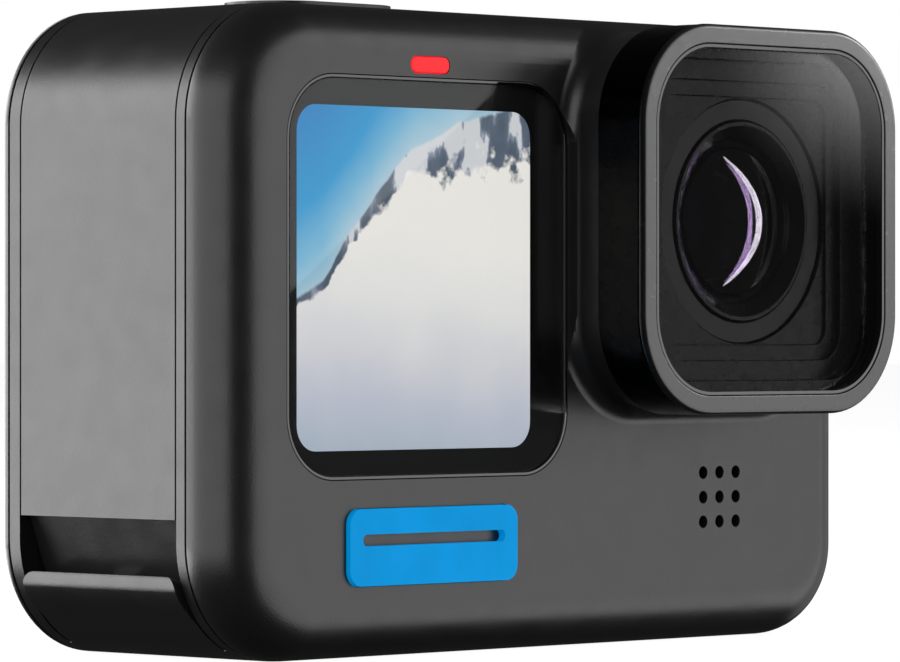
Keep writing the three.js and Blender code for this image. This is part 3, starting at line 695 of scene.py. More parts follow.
# ---------------------------------------------------------------- lens cover
COVER_BACK = COVER_FRONT + 4.9
RIM_THICK, RIM_ROUND, RIM_GAP = 0.55, 0.4, 0.06
COVER_GLASS = panel_of("lens_cover_glass", 6.4)
GLASS_GAP = 0.14
GLASS_DEPTH = 1.35  # floor of the recess that the cover glass lies in, behind the rim
STEPS = (  # half width, corner radius and depth of each square step behind the glass
    (12.8, 4.2, 2.5),
    (11.2, 2.4, 3.0),
    (9.95, 1.4, 3.25),
)
PLATE_BORE = 9.9
PLATE_BACK = 4.15
COLLAR_BORE, COLLAR_OUTER, COLLAR_REACH = 10.6, 11.8, 2.3  # the collar turns in the front shell
SEAL_Y, SEAL_ROUND, SEAL_GROOVE = COVER_BACK + 1.2, 0.4, 0.55
ROUND = 128  # points round a part of the lens


def square(half, r):
    return Panel(LENS.x, LENS.z, 2 * half, 2 * half, r)


def lens_turned(name, profile):
    return turned(name, profile, LENS.x, LENS.z, ROUND)


def lens_ring(name, inner, outer, y0, y1):
    return lens_turned(name, [(inner, y0), (outer, y0), (outer, y1), (inner, y1)])


def lens_rod(name, r, y0, y1):
    return rod(name, LENS.x, LENS.z, r, y0, y1, ROUND)


def cover_rim():
    """Flat bezel round the cover glass, with a rounded outer edge."""
    rings = [COVER.ring(COVER_FRONT + RIM_THICK)]
    for angle in quarter_turns(4):
        y = COVER_FRONT + RIM_ROUND * (1 - math.sin(angle))
        rings.append(COVER.ring(y, RIM_ROUND * (1 - math.cos(angle))))
    rim = loft("cover_rim", rings)
    carve(rim, slab("opening", COVER_GLASS.grown(GLASS_GAP), COVER_FRONT - 1, COVER_FRONT + 2))
    place(rim, "lens_cover", rim_coat, "black_plastic", (), 0.07, 2)


def cover_case():
    """Housing behind the bezel: stepped square inside, with a collar that enters the front shell."""
    case = slab("cover_case", COVER.grown(-0.03), COVER_FRONT + RIM_THICK + RIM_GAP, COVER_BACK)
    carve(case, slab("recess", COVER_GLASS.grown(GLASS_GAP), COVER_FRONT, COVER_FRONT + GLASS_DEPTH))
    for half, r, depth in STEPS:
        carve(case, slab("step", square(half, r), COVER_FRONT, COVER_FRONT + depth, 10))
    unite(case, lens_ring("collar", COLLAR_BORE, COLLAR_OUTER, COVER_BACK - 0.4,
                          COVER_BACK + COLLAR_REACH))
    carve(case, lens_rod("plate_bore", PLATE_BORE, COVER_FRONT, 0))
    carve(case, lens_rod("collar_bore", COLLAR_BORE, COVER_FRONT + PLATE_BACK, 0))
    carve(case, lens_ring("seal_groove", COLLAR_OUTER - 0.5, COLLAR_OUTER + 1,
                          SEAL_Y - SEAL_GROOVE, SEAL_Y + SEAL_GROOVE))
    place(case, "lens_cover", gloss_black, "black_plastic", ["lens_cover_frame"], 0.09, 3)


def cover_window():
    pane = slab("cover_pane", COVER_GLASS.grown(-PANE_INSET), COVER_FRONT + 0.1, COVER_FRONT + 1.2)
    place(pane, "lens_cover", cover_glass, "cover_glass", ["lens_cover_glass"], 0.05, 2)
    pane.visible_shadow = False
    pane_edge("cover_edge", COVER_GLASS, COVER_FRONT + 0.07, "lens_cover")


def collar_seal():
    section = [(p.x, p.z) for p in circle(COLLAR_OUTER + 0.1, SEAL_Y, SEAL_ROUND, 0, 16)]
    seal = lens_turned("collar_seal", section)
    place(seal, "lens_cover", silicone, "seal_rubber", ["lens_cover_seal"], 0)


cover_rim()
cover_case()
cover_window()
collar_seal()


# ---------------------------------------------------------------- lens
BARREL_FRONT, BARREL_REAR = (corner.y for corner in span("lens_barrel"))
BARREL_RADIUS = 8.0
LENS_BORE, REAR_BORE, BORE_STEP_Y = 5.9, 4.4, -9.0
LENS_EDGE, REAR_EDGE_RADIUS = LENS_BORE - 0.1, REAR_BORE - 0.1
RING_GAP, RING_OUTER = 0.25, 12.3
FRONT_APEX, FRONT_SAG = BARREL_FRONT + 0.15, 0.93
REAR_APEX, REAR_BACK_APEX = -8.2, -4.5


def dome_radius(edge, sag):
    return (edge ** 2 + sag ** 2) / (2 * abs(sag))


def dome(edge, apex, sag, steps=32):
    """Arc of (radius, y) from the axis out to an edge that lies `sag` behind the apex."""
    radius = dome_radius(edge, sag)
    reaches = [edge * i / steps for i in range(steps + 1)]
    return [(r, apex + math.copysign(radius - math.sqrt(radius ** 2 - r ** 2), sag)) for r in reaches]


def lens_element(name, node, front, back, material):
    """A lens whose front and back are domes, both listed from the axis out."""
    lens = lens_turned(name, front + back[::-1])
    place(lens, "camera_body", material, "lens_glass", [node], 0)


def mount_ring():
    inner, neck_radius, step_radius = BARREL_RADIUS + 0.2, PLATE_BORE - 0.12, COLLAR_BORE - RING_GAP
    front, back = BARREL_FRONT + 0.2, BAND_LOW.y - RING_GAP
    step, flange = COVER_FRONT + PLATE_BACK + RING_GAP, COVER_BACK + COLLAR_REACH + RING_GAP
    ring = lens_turned("mount_ring", [
        (inner, front), (neck_radius, front), (neck_radius, step), (step_radius, step),
        (step_radius, flange), (RING_OUTER, flange), (RING_OUTER, back), (inner, back)])
    place(ring, "camera_body", well_black, "inner_plastic", ["lens_mount_ring"], 0.08, 2)


def barrel():
    """Tube whose mouth narrows in three steps down to the front lens."""
    mouth = [(LENS_BORE, 1.5), (6.5, 1.15), (6.62, 0.8), (7.5, 0.22), (7.72, 0), (BARREL_RADIUS, 0)]
    tube = lens_turned("barrel", [(r, BARREL_FRONT + y) for r, y in mouth] + [
        (BARREL_RADIUS, BARREL_REAR), (REAR_BORE, BARREL_REAR), (REAR_BORE, BORE_STEP_Y),
        (LENS_BORE, BORE_STEP_Y)])
    place(tube, "camera_body", gloss_black, "black_plastic", ["lens_barrel"], 0.05, 2)


mount_ring()
barrel()
lens_element("front_element", "front_lens", dome(LENS_EDGE, FRONT_APEX, FRONT_SAG),
             dome(LENS_EDGE, BORE_STEP_Y - 1.3, 0.9), coated_lens)
lens_element("rear_element", "rear_lens", dome(REAR_EDGE_RADIUS, REAR_APEX, 1.3),
             dome(REAR_EDGE_RADIUS, REAR_BACK_APEX, -0.9), inner_lens)


# ---------------------------------------------------------------- rings and slabs in other planes
def plan_ring(panel, z, inset=0.0, steps=12):
    """The outline laid flat: the panel's x runs along X and its z along Y."""
    return [Vector((p.x, p.z, z)) for p in panel.ring(0, inset, steps)]


def side_ring(panel, x, inset=0.0, steps=12):
    """The outline on the side: the panel's x runs along Y and its z along Z."""
    return [Vector((x, p.x, p.z)) for p in panel.ring(0, inset, steps)]


def plan_slab(name, panel, z0, z1, steps=12):
    return loft(name, [plan_ring(panel, z0, 0, steps), plan_ring(panel, z1, 0, steps)])


def side_slab(name, panel, x0, x1, steps=12):
    return loft(name, [side_ring(panel, x0, 0, steps), side_ring(panel, x1, 0, steps)])


def plan_panel(node, r):
    low, high = span(node)
    return Panel((low.x + high.x) / 2, (low.y + high.y) / 2, high.x - low.x, high.y - low.y, r)


def side_panel(node, r):
    low, high = span(node)
    return Panel((low.y + high.y) / 2, (low.z + high.z) / 2, high.y - low.y, high.z - low.z, r)


def upright_rod(name, x, y, r, z0, z1, count=40):
    return loft(name, [[Vector((p.x, p.z, z)) for p in circle(x, y, r, 0, count)] for z in (z0, z1)])


# ---------------------------------------------------------------- middle band
BAND_FRONT = BAND_LOW.y
DOOR_LOW, DOOR_HIGH = span("side_door")
SIDE_GAP = 0.15  # line left round the door
HOLE_GAP = 0.2  # line left round a button, the base plate and the hinge
OPEN_FRONT, OPEN_REAR = DOOR_LOW.y - SIDE_GAP, DOOR_HIGH.y + SIDE_GAP
PIN = middle("door_hinge_pin")
HINGE_RADIUS, HINGE_BORE = 1.25, 0.7
LIP_HIGH = span("door_latch")[1]
LIP_END_X = -30.6  # inner end of the latch lip, under the corner
CELL_LOW, CELL_HIGH = span("battery")
BASE = plan_panel("base_plate", 2.0)
BAY_LEFT, BAY_RIGHT = -30, 11  # ends of the battery bay's floor and roof
BAY_GAP, BAY_SHEET = 0.25, 0.8
LAND_X, LAND_LOW = -24.0, 9.6  # the door's seal lies on a land that ends here
FINGER_Y = middle("finger_left").y
FLANGE = 0.8  # rim that keeps a button in its hole
SHUTTER_PLAN = plan_panel("shutter_button", 4.8).grown(-FLANGE)
MODE_SIDE = side_panel("mode_button", 3.25).grown(-FLANGE)


def outline_ring(name, outer, inner, y0, y1):
    """The body's outline between two insets, as a closed hoop from y0 to y1."""
    corners = ((y0, outer), (y1, outer), (y1, inner), (y0, inner))
    return loft(name, [BODY.ring(y, inset) for y, inset in corners], closed=True)


def middle_band():
    band = outline_ring("middle_band", 0, WALL, BAND_FRONT, BAND_REAR)
    carve(band,
          box("side_cut", -BIG, LIP_END_X - 0.1, OPEN_FRONT, OPEN_REAR, -1, BIG),
          box("top_cut", -BIG, PIN.x, OPEN_FRONT, OPEN_REAR, BODY.z, BIG + 1),
          box("hinge_cut", PIN.x - 0.5, PIN.x + HINGE_RADIUS + HOLE_GAP, OPEN_FRONT, OPEN_REAR,
              PIN.z, BIG + 2))
    land = clip(outline_ring("land", 2.5, 3.3, BAND_FRONT + 0.1, BAND_REAR - 0.1),
                box("land_zone", -BIG, LAND_X, -REAR, REAR, LAND_LOW, BIG))
    strips = [clip(outline_ring("strip", 0.9, 3.2, y0 + 0.05, y1 - 0.05),
                   box("strip_zone", -BIG, LAND_X, -REAR, REAR, -1, BIG))
              for y0, y1 in ((BAND_FRONT, OPEN_FRONT), (OPEN_REAR, BAND_REAR))]
    wall = slab("bulkhead", BODY.grown(-SHELL), BAND_FRONT + 0.05, BAND_FRONT + BAY_SHEET)
    below, above = CELL_LOW.z - BAY_GAP, CELL_HIGH.z + BAY_GAP
    floor = box("bay_floor", BAY_LEFT, BAY_RIGHT, BAND_FRONT + 0.3, CELL_HIGH.y + 0.2,
                below - BAY_SHEET, below)
    roof = box("bay_roof", BAY_LEFT, BAY_RIGHT, 0.8, CELL_HIGH.y + 0.2, above, above + BAY_SHEET)
    unite(band, *strips)
    unite(band, land)
    unite(band, wall)
    unite(band, floor, roof)
    carve(band,
          rod("barrel_room", PIN.x, PIN.z, HINGE_RADIUS + HOLE_GAP, OPEN_FRONT, OPEN_REAR),
          rod("pin_bore", PIN.x, PIN.z, HINGE_BORE, -REAR, REAR),
          box("cell_mouth", -BIG, BAY_LEFT - 0.5, OPEN_FRONT, CELL_HIGH.y + BAY_GAP, below, above),
          rod("lens_room", LENS.x, LENS.z, 9.0, -REAR, 0, 96),
          plan_slab("shutter_hole", SHUTTER_PLAN.grown(HOLE_GAP), BODY.h - 3, BIG),
          side_slab("mode_hole", MODE_SIDE.grown(HOLE_GAP), BODY.w / 2 - 2.4, BIG),
          plan_slab("base_hole", BASE.grown(HOLE_GAP), -1, WALL + 1))
    place(band, "camera_body", body_coat, "body_coat", ["chassis_frame"], 0.07, 2)


middle_band()


# ---------------------------------------------------------------- rear shell and touch screen
TOUCH = panel_of("rear_touch_glass", 4.0)
REAR_EDGE = 0.35  # small rounding of the back edge
REAR_SEAM = 0.2  # line left between the band and the rear shell
PLUG_INSET = 3.6  # the shell's inner part fits inside the band's land


def rear_shell():
    face = BAND_REAR + REAR_SEAM
    rings = [BODY.ring(face)]
    for angle in quarter_turns(5):
        rings.append(BODY.ring(REAR - REAR_EDGE * (1 - math.sin(angle)), REAR_EDGE * (1 - math.cos(angle))))
    shell = loft("rear_shell", rings)
    unite(shell, slab("plug", BODY.grown(-PLUG_INSET), span("rear_housing")[0].y, face + 0.2))
    carve(shell, slab("glass_pocket", TOUCH.grown(0.1), REAR - 1.4, REAR + 1))
    carve(shell, slab("panel_window", panel_of("rear_display", 1.0).grown(0.6), 0, REAR))
    place(shell, "camera_body", body_coat, "body_coat", ["rear_housing"], 0.08, 2)


def touch_glass():
    glass = slab("touch_glass", TOUCH.grown(0.02), span("rear_touch_glass")[0].y, REAR - 0.02)
    place(glass, "camera_body", dark_glass, "screen_glass", ["rear_touch_glass"], 0.18, 4)


rear_shell()
touch_glass()


# ---------------------------------------------------------------- side door and latch
PANEL_LOWER = 10.93  # lower edge of the outer panel
# Section (x, z) of the sloped floor of the finger scoop, which runs on behind the lip
SCOOP = (
    (-35.2, 11.4), (-33.55, 7), (-33, 5.9), (-31.4, 4.1),
    (-30.9, 4.8), (-32.3, 6.4), (-32.95, 7.2), (-34.55, 11.4),
)
TONGUE_HALF, SLOT_HALF = 1.4, 1.8
SLOT_TOP = 6.45  # hidden behind the lip
LIP_ROLL = 1.4  # radius of the lip's rolled upper part
LIP_ROLL_TOP = math.radians(30)  # how far above level the roll's upper end faces
LIP_EASE = math.radians(22.5)  # arc of the corner over which the lip sinks back to the outline
LIP_THICK = 1.2
LIP_GAP = 0.12
LIP_STEPS = 16


def side_door():
    y0, y1 = DOOR_LOW.y, DOOR_HIGH.y
    door = clip(outline_ring("door", 0, SHELL, y0, y1),
                box("door_zone", -BIG, PIN.x, -REAR, REAR, PANEL_LOWER, BIG))
    knuckle = rod("knuckle", PIN.x, PIN.z, HINGE_RADIUS, y0, y1, 64)
    scoop = prism("scoop", SCOOP, y0, y1)
    carve(scoop, box("tongue_slot", -BIG, -30, FINGER_Y - SLOT_HALF, FINGER_Y + SLOT_HALF, 0, SLOT_TOP))
    ledge = box("ledge", -33.8, -31, FINGER_Y - 2, FINGER_Y + 2, 8.5, 9.2)
    unite(door, knuckle)
    unite(door, scoop)
    unite(door, ledge)
    carve(door, rod("bore", PIN.x, PIN.z, HINGE_BORE, -REAR, REAR))
    place(door, "door", door_coat, "body_coat", ["side_door"], 0.09, 3)


def off_centre(centre, radius, angle):
    """Point (x, z) whose direction from the centre lies `angle` below level, towards the door side."""
    return Vector((centre.x - radius * math.cos(angle), centre.y - radius * math.sin(angle)))


def lip_section():
    """Section (x, z) of the latch lip: a roll at the top that sinks back to the body's corner."""
    corner = Vector((BODY.x - BODY.w / 2 + CORNER, CORNER))
    roll = Vector((BODY.x - BODY.w / 2 + 0.05 + LIP_ROLL, LIP_HIGH.z - LIP_ROLL * math.sin(LIP_ROLL_TOP)))
    meet = math.atan2(corner.y - roll.y, corner.x - roll.x)
    proud = (corner - roll).length + LIP_ROLL - CORNER
    last = math.acos((corner.x - LIP_END_X - 0.17) / CORNER)
    outer, inner = [], []
    for i in range(LIP_STEPS):
        angle = -LIP_ROLL_TOP + (meet + LIP_ROLL_TOP) * i / LIP_STEPS
        outer.append(off_centre(roll, LIP_ROLL, angle))
        inner.append(off_centre(roll, LIP_ROLL - LIP_THICK, angle))
    for i in range(LIP_STEPS + 1):
        angle = meet + (last - meet) * i / LIP_STEPS
        sunk = min(1, (angle - meet) / LIP_EASE)
        radius = CORNER + proud * math.cos(math.pi / 2 * sunk) ** 2
        outer.append(off_centre(corner, radius, angle))
        inner.append(off_centre(corner, radius - LIP_THICK, angle))
    return outer + inner[::-1]


def door_latch():
    y0, y1 = DOOR_LOW.y + LIP_GAP, DOOR_HIGH.y - LIP_GAP
    lip = prism("latch_lip", lip_section(), y0, y1)
    rounding = Panel((y0 + y1) / 2, LIP_HIGH.z - 10.05, y1 - y0, 20, 1.1)
    clip(lip, side_slab("lip_outline", rounding, -BIG, 0))
    place(lip, "latch", door_coat, "body_coat", ["door_latch"], 0.22, 3)
    tongue = box("latch_tongue", -34.9, -30.9, FINGER_Y - TONGUE_HALF, FINGER_Y + TONGUE_HALF, 5, 6.2)
    place(tongue, "latch", satin_black, "black_plastic", (), 0.15, 3)


side_door()
door_latch()


# ---------------------------------------------------------------- buttons
BUTTON_STEPS = 16
FLANGE_THICK = 0.6
DISH_MARGIN, DISH_WIDTH, DISH_DEPTH = 1.0, 1.6, 0.28
DISH_STEPS = 6


def shutter_button():
    """Button with a shallow dish in its top and a small dot in the middle of the dish."""
    low, high = span("shutter_button")
    cap = plan_slab("shutter_cap", SHUTTER_PLAN, low.z, high.z, BUTTON_STEPS)
    unite(cap, plan_slab("flange", SHUTTER_PLAN.grown(FLANGE), low.z, low.z + FLANGE_THICK, BUTTON_STEPS))
    edge = SHUTTER_PLAN.grown(-DISH_MARGIN)
    dish = [plan_ring(edge, high.z + 0.5, 0, BUTTON_STEPS)]
    for step, angle in enumerate(quarter_turns(DISH_STEPS)):
        ring = edge.grown(-DISH_WIDTH * step / DISH_STEPS)
        dish.append(plan_ring(ring, high.z + 0.02 - DISH_DEPTH * math.sin(angle), 0, BUTTON_STEPS))
    carve(cap, loft("dish", dish))
    unite(cap, upright_rod("dot", SHUTTER_PLAN.x, SHUTTER_PLAN.z, 0.7, high.z - 1.0, high.z - 0.1, 32))
    place(cap, "shutter", button_black, "black_plastic", ["shutter_button"], 0.16, 3)


def mode_button():
    """Button on the lens side, with a finger groove along its middle."""
    low, high = span("mode_button")
    cap = side_slab("mode_cap", MODE_SIDE, low.x, high.x - 0.02, BUTTON_STEPS)
    unite(cap, side_slab("flange", MODE_SIDE.grown(FLANGE), low.x, low.x + FLANGE_THICK, BUTTON_STEPS))
    groove = Panel(MODE_SIDE.x, MODE_SIDE.z, MODE_SIDE.w - 4.4, 0.9, 0.44)
    carve(cap, side_slab("groove", groove, high.x - 0.3, high.x + 1, 8))
    place(cap, "mode", button_black, "black_plastic", ["mode_button"], 0.16, 3)


shutter_button()
mode_button()


# ---------------------------------------------------------------- base plate and folding fingers
BASE_TOP = span("base_plate")[1].z
PIN_BORE = 0.75
POCKET = Panel(0, FINGER_Y, 38.4, 15.6, 7.6)
POCKET_TOP = 3.4
TIP_STEPS = 36
FINGER_AXIS_Z = middle("finger_pin_left").z
EYE_RADIUS, EYE_RECESS, EYE_SINK = 2.5, 4.1, 0.25
SCREW_BORE, HEAD_BORE, HEAD_DEPTH = 0.95, 1.45, 1.4
SCREW_RADIUS, HEAD_RADIUS, SOCKET_RADIUS = 0.7, 1.2, 0.55
HEAD_HEIGHT, SOCKET_DEPTH = 0.8, 0.45


def base_plate():
    plate = plan_slab("base_tray", BASE, 0.02, BASE_TOP, 8)
    carve(plate, plan_slab("pocket", POCKET, -1, POCKET_TOP, 20))
    cuts = []
    for side in ("left", "right"):
        screw = middle(f"base_screw_{side}")
        cuts += [rod("pin_bore", middle(f"finger_pin_{side}").x, FINGER_AXIS_Z, PIN_BORE, -REAR, REAR, 24),
                 upright_rod("screw_bore", screw.x, screw.y, SCREW_BORE, -1, 6),
                 upright_rod("head_bore", screw.x, screw.y, HEAD_BORE, -1, HEAD_DEPTH)]
    carve(plate, *cuts)
    place(plate, "camera_body", satin_black, "black_plastic", ["base_plate"], 0.15, 3)


def finger(side):
    """Folding finger: a blade with a round tip, a knuckle at its foot and an eye near its tip."""
    node = f"finger_{side}"
    low, high = span(node)
    sign = 1 if side == "right" else -1
    pin = middle(f"finger_pin_{side}")
    half = (high.y - low.y) / 2
    tip = (high.x if sign > 0 else -low.x) - half
    outline = [(abs(pin.x), FINGER_Y - half)]
    for step in range(TIP_STEPS + 1):
        angle = math.pi * (step / TIP_STEPS - 0.5)
        outline.append((tip + half * math.cos(angle), FINGER_Y + half * math.sin(angle)))
    outline.append((abs(pin.x), FINGER_Y + half))
    blade = loft(f"finger_blade_{side}",
                 [[Vector((sign * x, y, z)) for x, y in outline] for z in (low.z, high.z)])
    unite(blade, rod("knuckle", pin.x, pin.z, (high.z - low.z) / 2, low.y, high.y, 48))
    cuts = [upright_rod("eye", sign * tip, FINGER_Y, EYE_RADIUS, -5, 8, 64),
            rod("bore", pin.x, pin.z, PIN_BORE, -REAR, REAR, 24)]
    for z0, z1 in ((low.z - 1, low.z + EYE_SINK), (high.z - EYE_SINK, high.z + 1)):
        cuts.append(upright_rod("counterbore", sign * tip, FINGER_Y, EYE_RECESS, z0, z1, 64))
    carve(blade, *cuts)
    place(blade, f"{side}_finger", satin_black, "black_plastic", [node], 0.3, 4)


def socket_screw(name, node, body, along_y):
    """Screw with a round head and a six-sided socket; the head faces the rear, or else down."""
    low, high = span(node)
    centre = middle(node)

    def bar(label, r, start, end, count):
        if along_y:
            return rod(label, centre.x, centre.z, r, start, end, count)
        return upright_rod(label, centre.x, centre.y, r, start, end, count)

    start, end = (low.y, high.y) if along_y else (low.z, high.z)
    screw = bar(name, SCREW_RADIUS, start + 0.1, end - 0.1, 24)
    head = (end - HEAD_HEIGHT, end) if along_y else (start, start + HEAD_HEIGHT)
    unite(screw, bar("head", HEAD_RADIUS, *head, 40))
    hole = (end - SOCKET_DEPTH, end + 1) if along_y else (start - 1, start + SOCKET_DEPTH)
    carve(screw, bar("socket", SOCKET_RADIUS, *hole, 6))
    place(screw, body, steel, "steel", [node], 0.08, 2)


base_plate()
for side in ("left", "right"):
    finger(side)
    socket_screw(f"tray_screw_{side}", f"base_screw_{side}", "camera_body", False)
for number in range(1, 5):
    socket_screw(f"case_screw_{number}", f"housing_screw_{number}", "camera_body", True)


# ---------------------------------------------------------------- battery, card, port and seals
CONTACT_PITCH, CONTACT_WIDTH, CONTACT_LENGTH = 2.2, 1.4, 4.0
CONTACT_START = 3.0  # from the front of the battery to its first contact
CONTACT_TOP = 2.5  # from the top of the battery down to its contacts
CONTACT_GAP = 0.1
BAND_INSET = 6  # two shallow grooves run across the sleeve this far from its ends
RIB_PITCH, RIB_COUNT = 1.2, 5


def battery():
    """Battery in its printed sleeve, with three sunk contacts at the upper end of its door side."""
    low, high = span("battery")
    cell = side_slab("cell", side_panel("battery", 1.6), low.x, high.x, 8)
    for z in (low.z + BAND_INSET, high.z - BAND_INSET):
        carve(cell, box("band", low.x + 1.2, high.x - 1.2, low.y - 1, low.y + 0.12, z - 0.3, z + 0.3))
    top = high.z - CONTACT_TOP
    starts = [low.y + CONTACT_START + CONTACT_PITCH * i for i in range(3)]
    carve(cell, *[box("contact", low.x - 1, low.x + 0.4, y, y + CONTACT_WIDTH, top - CONTACT_LENGTH, top)
                  for y in starts])
    place(cell, "camera_body", cell_wrap, "cell_wrap", ["battery"], 0.25, 3)
    for number, y in enumerate(starts, 1):
        pad = box(f"cell_contact_{number}", low.x + 0.25, low.x + 0.45,
                  y + CONTACT_GAP, y + CONTACT_WIDTH - CONTACT_GAP,
                  top - CONTACT_LENGTH + CONTACT_GAP, top - CONTACT_GAP)
        place(pad, "camera_body", gold, "steel", (), 0.05, 2)


def pull_tab():
    low, high = span("battery_pull_tab")
    tab = slab("pull_tab", panel_of("battery_pull_tab", 0.44), low.y, high.y, 8)
    carve(tab, *[box("rib_cut", low.x - 1, low.x + 0.2, low.y + 0.6, high.y - 0.6, z - 0.2, z + 0.2)
                 for z in (low.z + 1.6 + RIB_PITCH * i for i in range(RIB_COUNT))])
    place(tab, "camera_body", satin_black, "black_plastic", ["battery_pull_tab"], 0.08, 2)


def memory_card():
    low, high = span("memory_card")
    card = slab("card_body", panel_of("memory_card", 0.6), low.y, high.y, 6)
    carve(card, box("nail_groove", low.x + 0.35, low.x + 0.75, low.y - 1, low.y + 0.2,
                    low.z + 2, high.z - 2))
    place(card, "card", satin_black, "black_plastic", ["memory_card"], 0.08, 2)


def usb_port():
    """Flat oval metal shell with a tongue inside."""
    low, high = span("usb_port")
    shape = side_panel("usb_port", 1.5)
    shell = side_slab("port_shell", shape, low.x, high.x, 16)
    carve(shell, side_slab("mouth", shape.grown(-0.3), low.x - 1, high.x - 0.7, 16))
    unite(shell, box("tongue", low.x + 1.2, high.x - 0.3, shape.x - 0.35, shape.x + 0.35,
                     shape.z - 3.3, shape.z + 3.3))
    place(shell, "camera_body", steel, "steel", ["usb_port"], 0.06, 2)


battery()
pull_tab()
memory_card()
usb_port()

DRESSED = (
    (steel, ("door_hinge_pin", "finger_pin_left", "finger_pin_right", "latch_spring", "shutter_switch",
             "shutter_spring", "mode_switch", "mode_spring", "card_socket")),
    (aluminium, ("heat_spreader",)),
    (board_mask, ("microphone_board", "main_board", "sensor_board")),
    (silicone, ("door_seal",)),
    (dark_glass, ("image_sensor", "rear_display")),
    (matt_black, ("image_processor", "speaker")),
)
for material, nodes in DRESSED:
    for node in nodes:
        dress(node, material)


# ---------------------------------------------------------------- camera
def look(obj, target):
    obj.rotation_mode = "QUATERNION"
    obj.rotation_quaternion = (Vector(target) - obj.location).to_track_quat("-Z", "Y")


CAMERA_PLACE = Vector((-325.66, -311.68, 25.17))
CAMERA_AIM = Vector((0.71878, 0.69524, 0))
FOCAL_LENGTH, SENSOR_WIDTH = 225.3, 36


def add_camera():
    data = bpy.data.cameras.new("camera")
    data.lens = FOCAL_LENGTH
    data.sensor_width = SENSOR_WIDTH
    data.clip_start, data.clip_end = 0.01, 20
    made = bpy.data.objects.new("camera", data)
    made.location = CAMERA_PLACE * MM
    look(made, made.location + CAMERA_AIM)
    bpy.context.scene.collection.objects.link(made)
    bpy.context.scene.camera = made


add_camera()


# ---------------------------------------------------------------- lights
MIRRORS = ["screen_glass", "cover_pane", "front_element", "rear_element"]
LENSES = ["front_element", "rear_element"]
COVER_PARTS = ["cover_case", "cover_rim"]
FADE_CENTRE, FADE_SCALE = (-1, -1, 0), (2, 2, 1)  # puts a card's middle at the middle of the fade
AIM_Z = 25  # height that the panels are centred on
PANEL_DISTANCE = 800
PANELS = (  # name, middle azimuth, width, lower and upper edge in degrees, radiance
    ("side_panel", 117, 58, -21, 29.5, 6.0),
    ("side_fill", 186, 76, -19, 38, 2.0),
    ("front_panel", -51, 68, -34, 41, 1.95),
    ("end_panel", 0, 34, -30, 38, 0.5),
)
CARD_DISTANCE = 400
CARD_AIM = Vector((CAMERA_AIM.x, -CAMERA_AIM.y, 0))  # the way the camera looks, mirrored in the front
CARD_SIDE = Vector((CAMERA_AIM.y, CAMERA_AIM.x, 0))
SCREEN_POINT = (-14.25, -8.4, 0)
COVER_POINT = (16.475, -16.7, 0)
CRESCENT_STEPS = 48
CRESCENT_DISTANCE = 300
CRESCENT_REACH, CRESCENT_BOW, CRESCENT_WIDTH = 5.2, 3.7, 0.85  # half height, bulge and width on the lens
CRESCENT_SHIFT = 1.3  # how far its ends lie to the door side of the axis
CRESCENT_TIP = 0.06  # share of the width left at the ends


def link_light(light, names, state):
    """Keeps a light off the named pieces (EXCLUDE), or on them alone (INCLUDE)."""
    group = bpy.data.collections.new(light.name + "_links")
    for piece in names:
        group.objects.link(bpy.data.objects[piece])
    for entry in group.collection_objects:
        entry.light_linking.link_state = state
    light.light_linking.receiver_collection = group


def fade_light(light):
    """Lets a card fade out from its middle to its edges."""
    light.data.use_nodes = True
    tree = light.data.node_tree
    emission = tree.nodes["Emission"]
    where = tree.nodes.new("ShaderNodeNewGeometry")
    fade = tree.nodes.new("ShaderNodeMapping")
    ball = tree.nodes.new("ShaderNodeTexGradient")
    ball.gradient_type = "QUADRATIC_SPHERE"
    fade.inputs["Location"].default_value = FADE_CENTRE
    fade.inputs["Scale"].default_value = FADE_SCALE
    tree.links.new(where.outputs["Parametric"], fade.inputs["Vector"])
    tree.links.new(fade.outputs["Vector"], ball.inputs["Vector"])
    tree.links.new(ball.outputs["Fac"], emission.inputs["Strength"])


def softbox(name, centre, aim, width, height, radiance, roll=0.0):
    """A rectangular light that faces along `aim`; millimetres and degrees."""
    data = bpy.data.lights.new(name, "AREA")
    data.shape = "RECTANGLE"
    data.size, data.size_y = width * MM, height * MM
    data.energy = radiance * math.pi * data.size * data.size_y
    made = bpy.data.objects.new(name, data)
    made.location = Vector(centre) * MM
    look(made, made.location + aim)
    made.rotation_quaternion @= Matrix.Rotation(math.radians(roll), 3, "Z").to_quaternion()
    made.visible_camera = False
    bpy.context.scene.collection.objects.link(made)
    return made


def tall_panel(name, azimuth, spread, low, high, radiance):
    """An upright panel that faces the object from one side."""
    bottom, top = (PANEL_DISTANCE * math.tan(math.radians(edge)) for edge in (low, high))
    width = 2 * PANEL_DISTANCE * math.tan(math.radians(spread / 2))
    away = Vector((math.cos(math.radians(azimuth)), math.sin(math.radians(azimuth)), 0))
    centre = away * PANEL_DISTANCE + Vector((0, 0, AIM_Z + (bottom + top) / 2))
    return softbox(name, centre, -away, width, top - bottom, radiance)


def glass_card(name, origin, across, up, width, height, radiance, shows_in, roll=0.0):
    """A small card that only the named pieces show, placed where they mirror the camera's view."""
    centre = Vector(origin) + CARD_AIM * CARD_DISTANCE + CARD_SIDE * across
    centre.z = up
    made = softbox(name, centre, -CARD_AIM, width, height, radiance, roll)
    link_light(made, shows_in, "INCLUDE")
    return made


# Tall panels round the object, open where the camera stands and straight behind the object
for name, *settings in PANELS:
    left_out = MIRRORS + (COVER_PARTS if name.startswith("side") else [])
    link_light(tall_panel(name, *settings), left_out, "EXCLUDE")

# This one lights the back alone, which the main view never shows
link_light(tall_panel("rear_panel", 90, 84, -25, 50, 1.6), ["rear_shell", "touch_glass"], "INCLUDE")

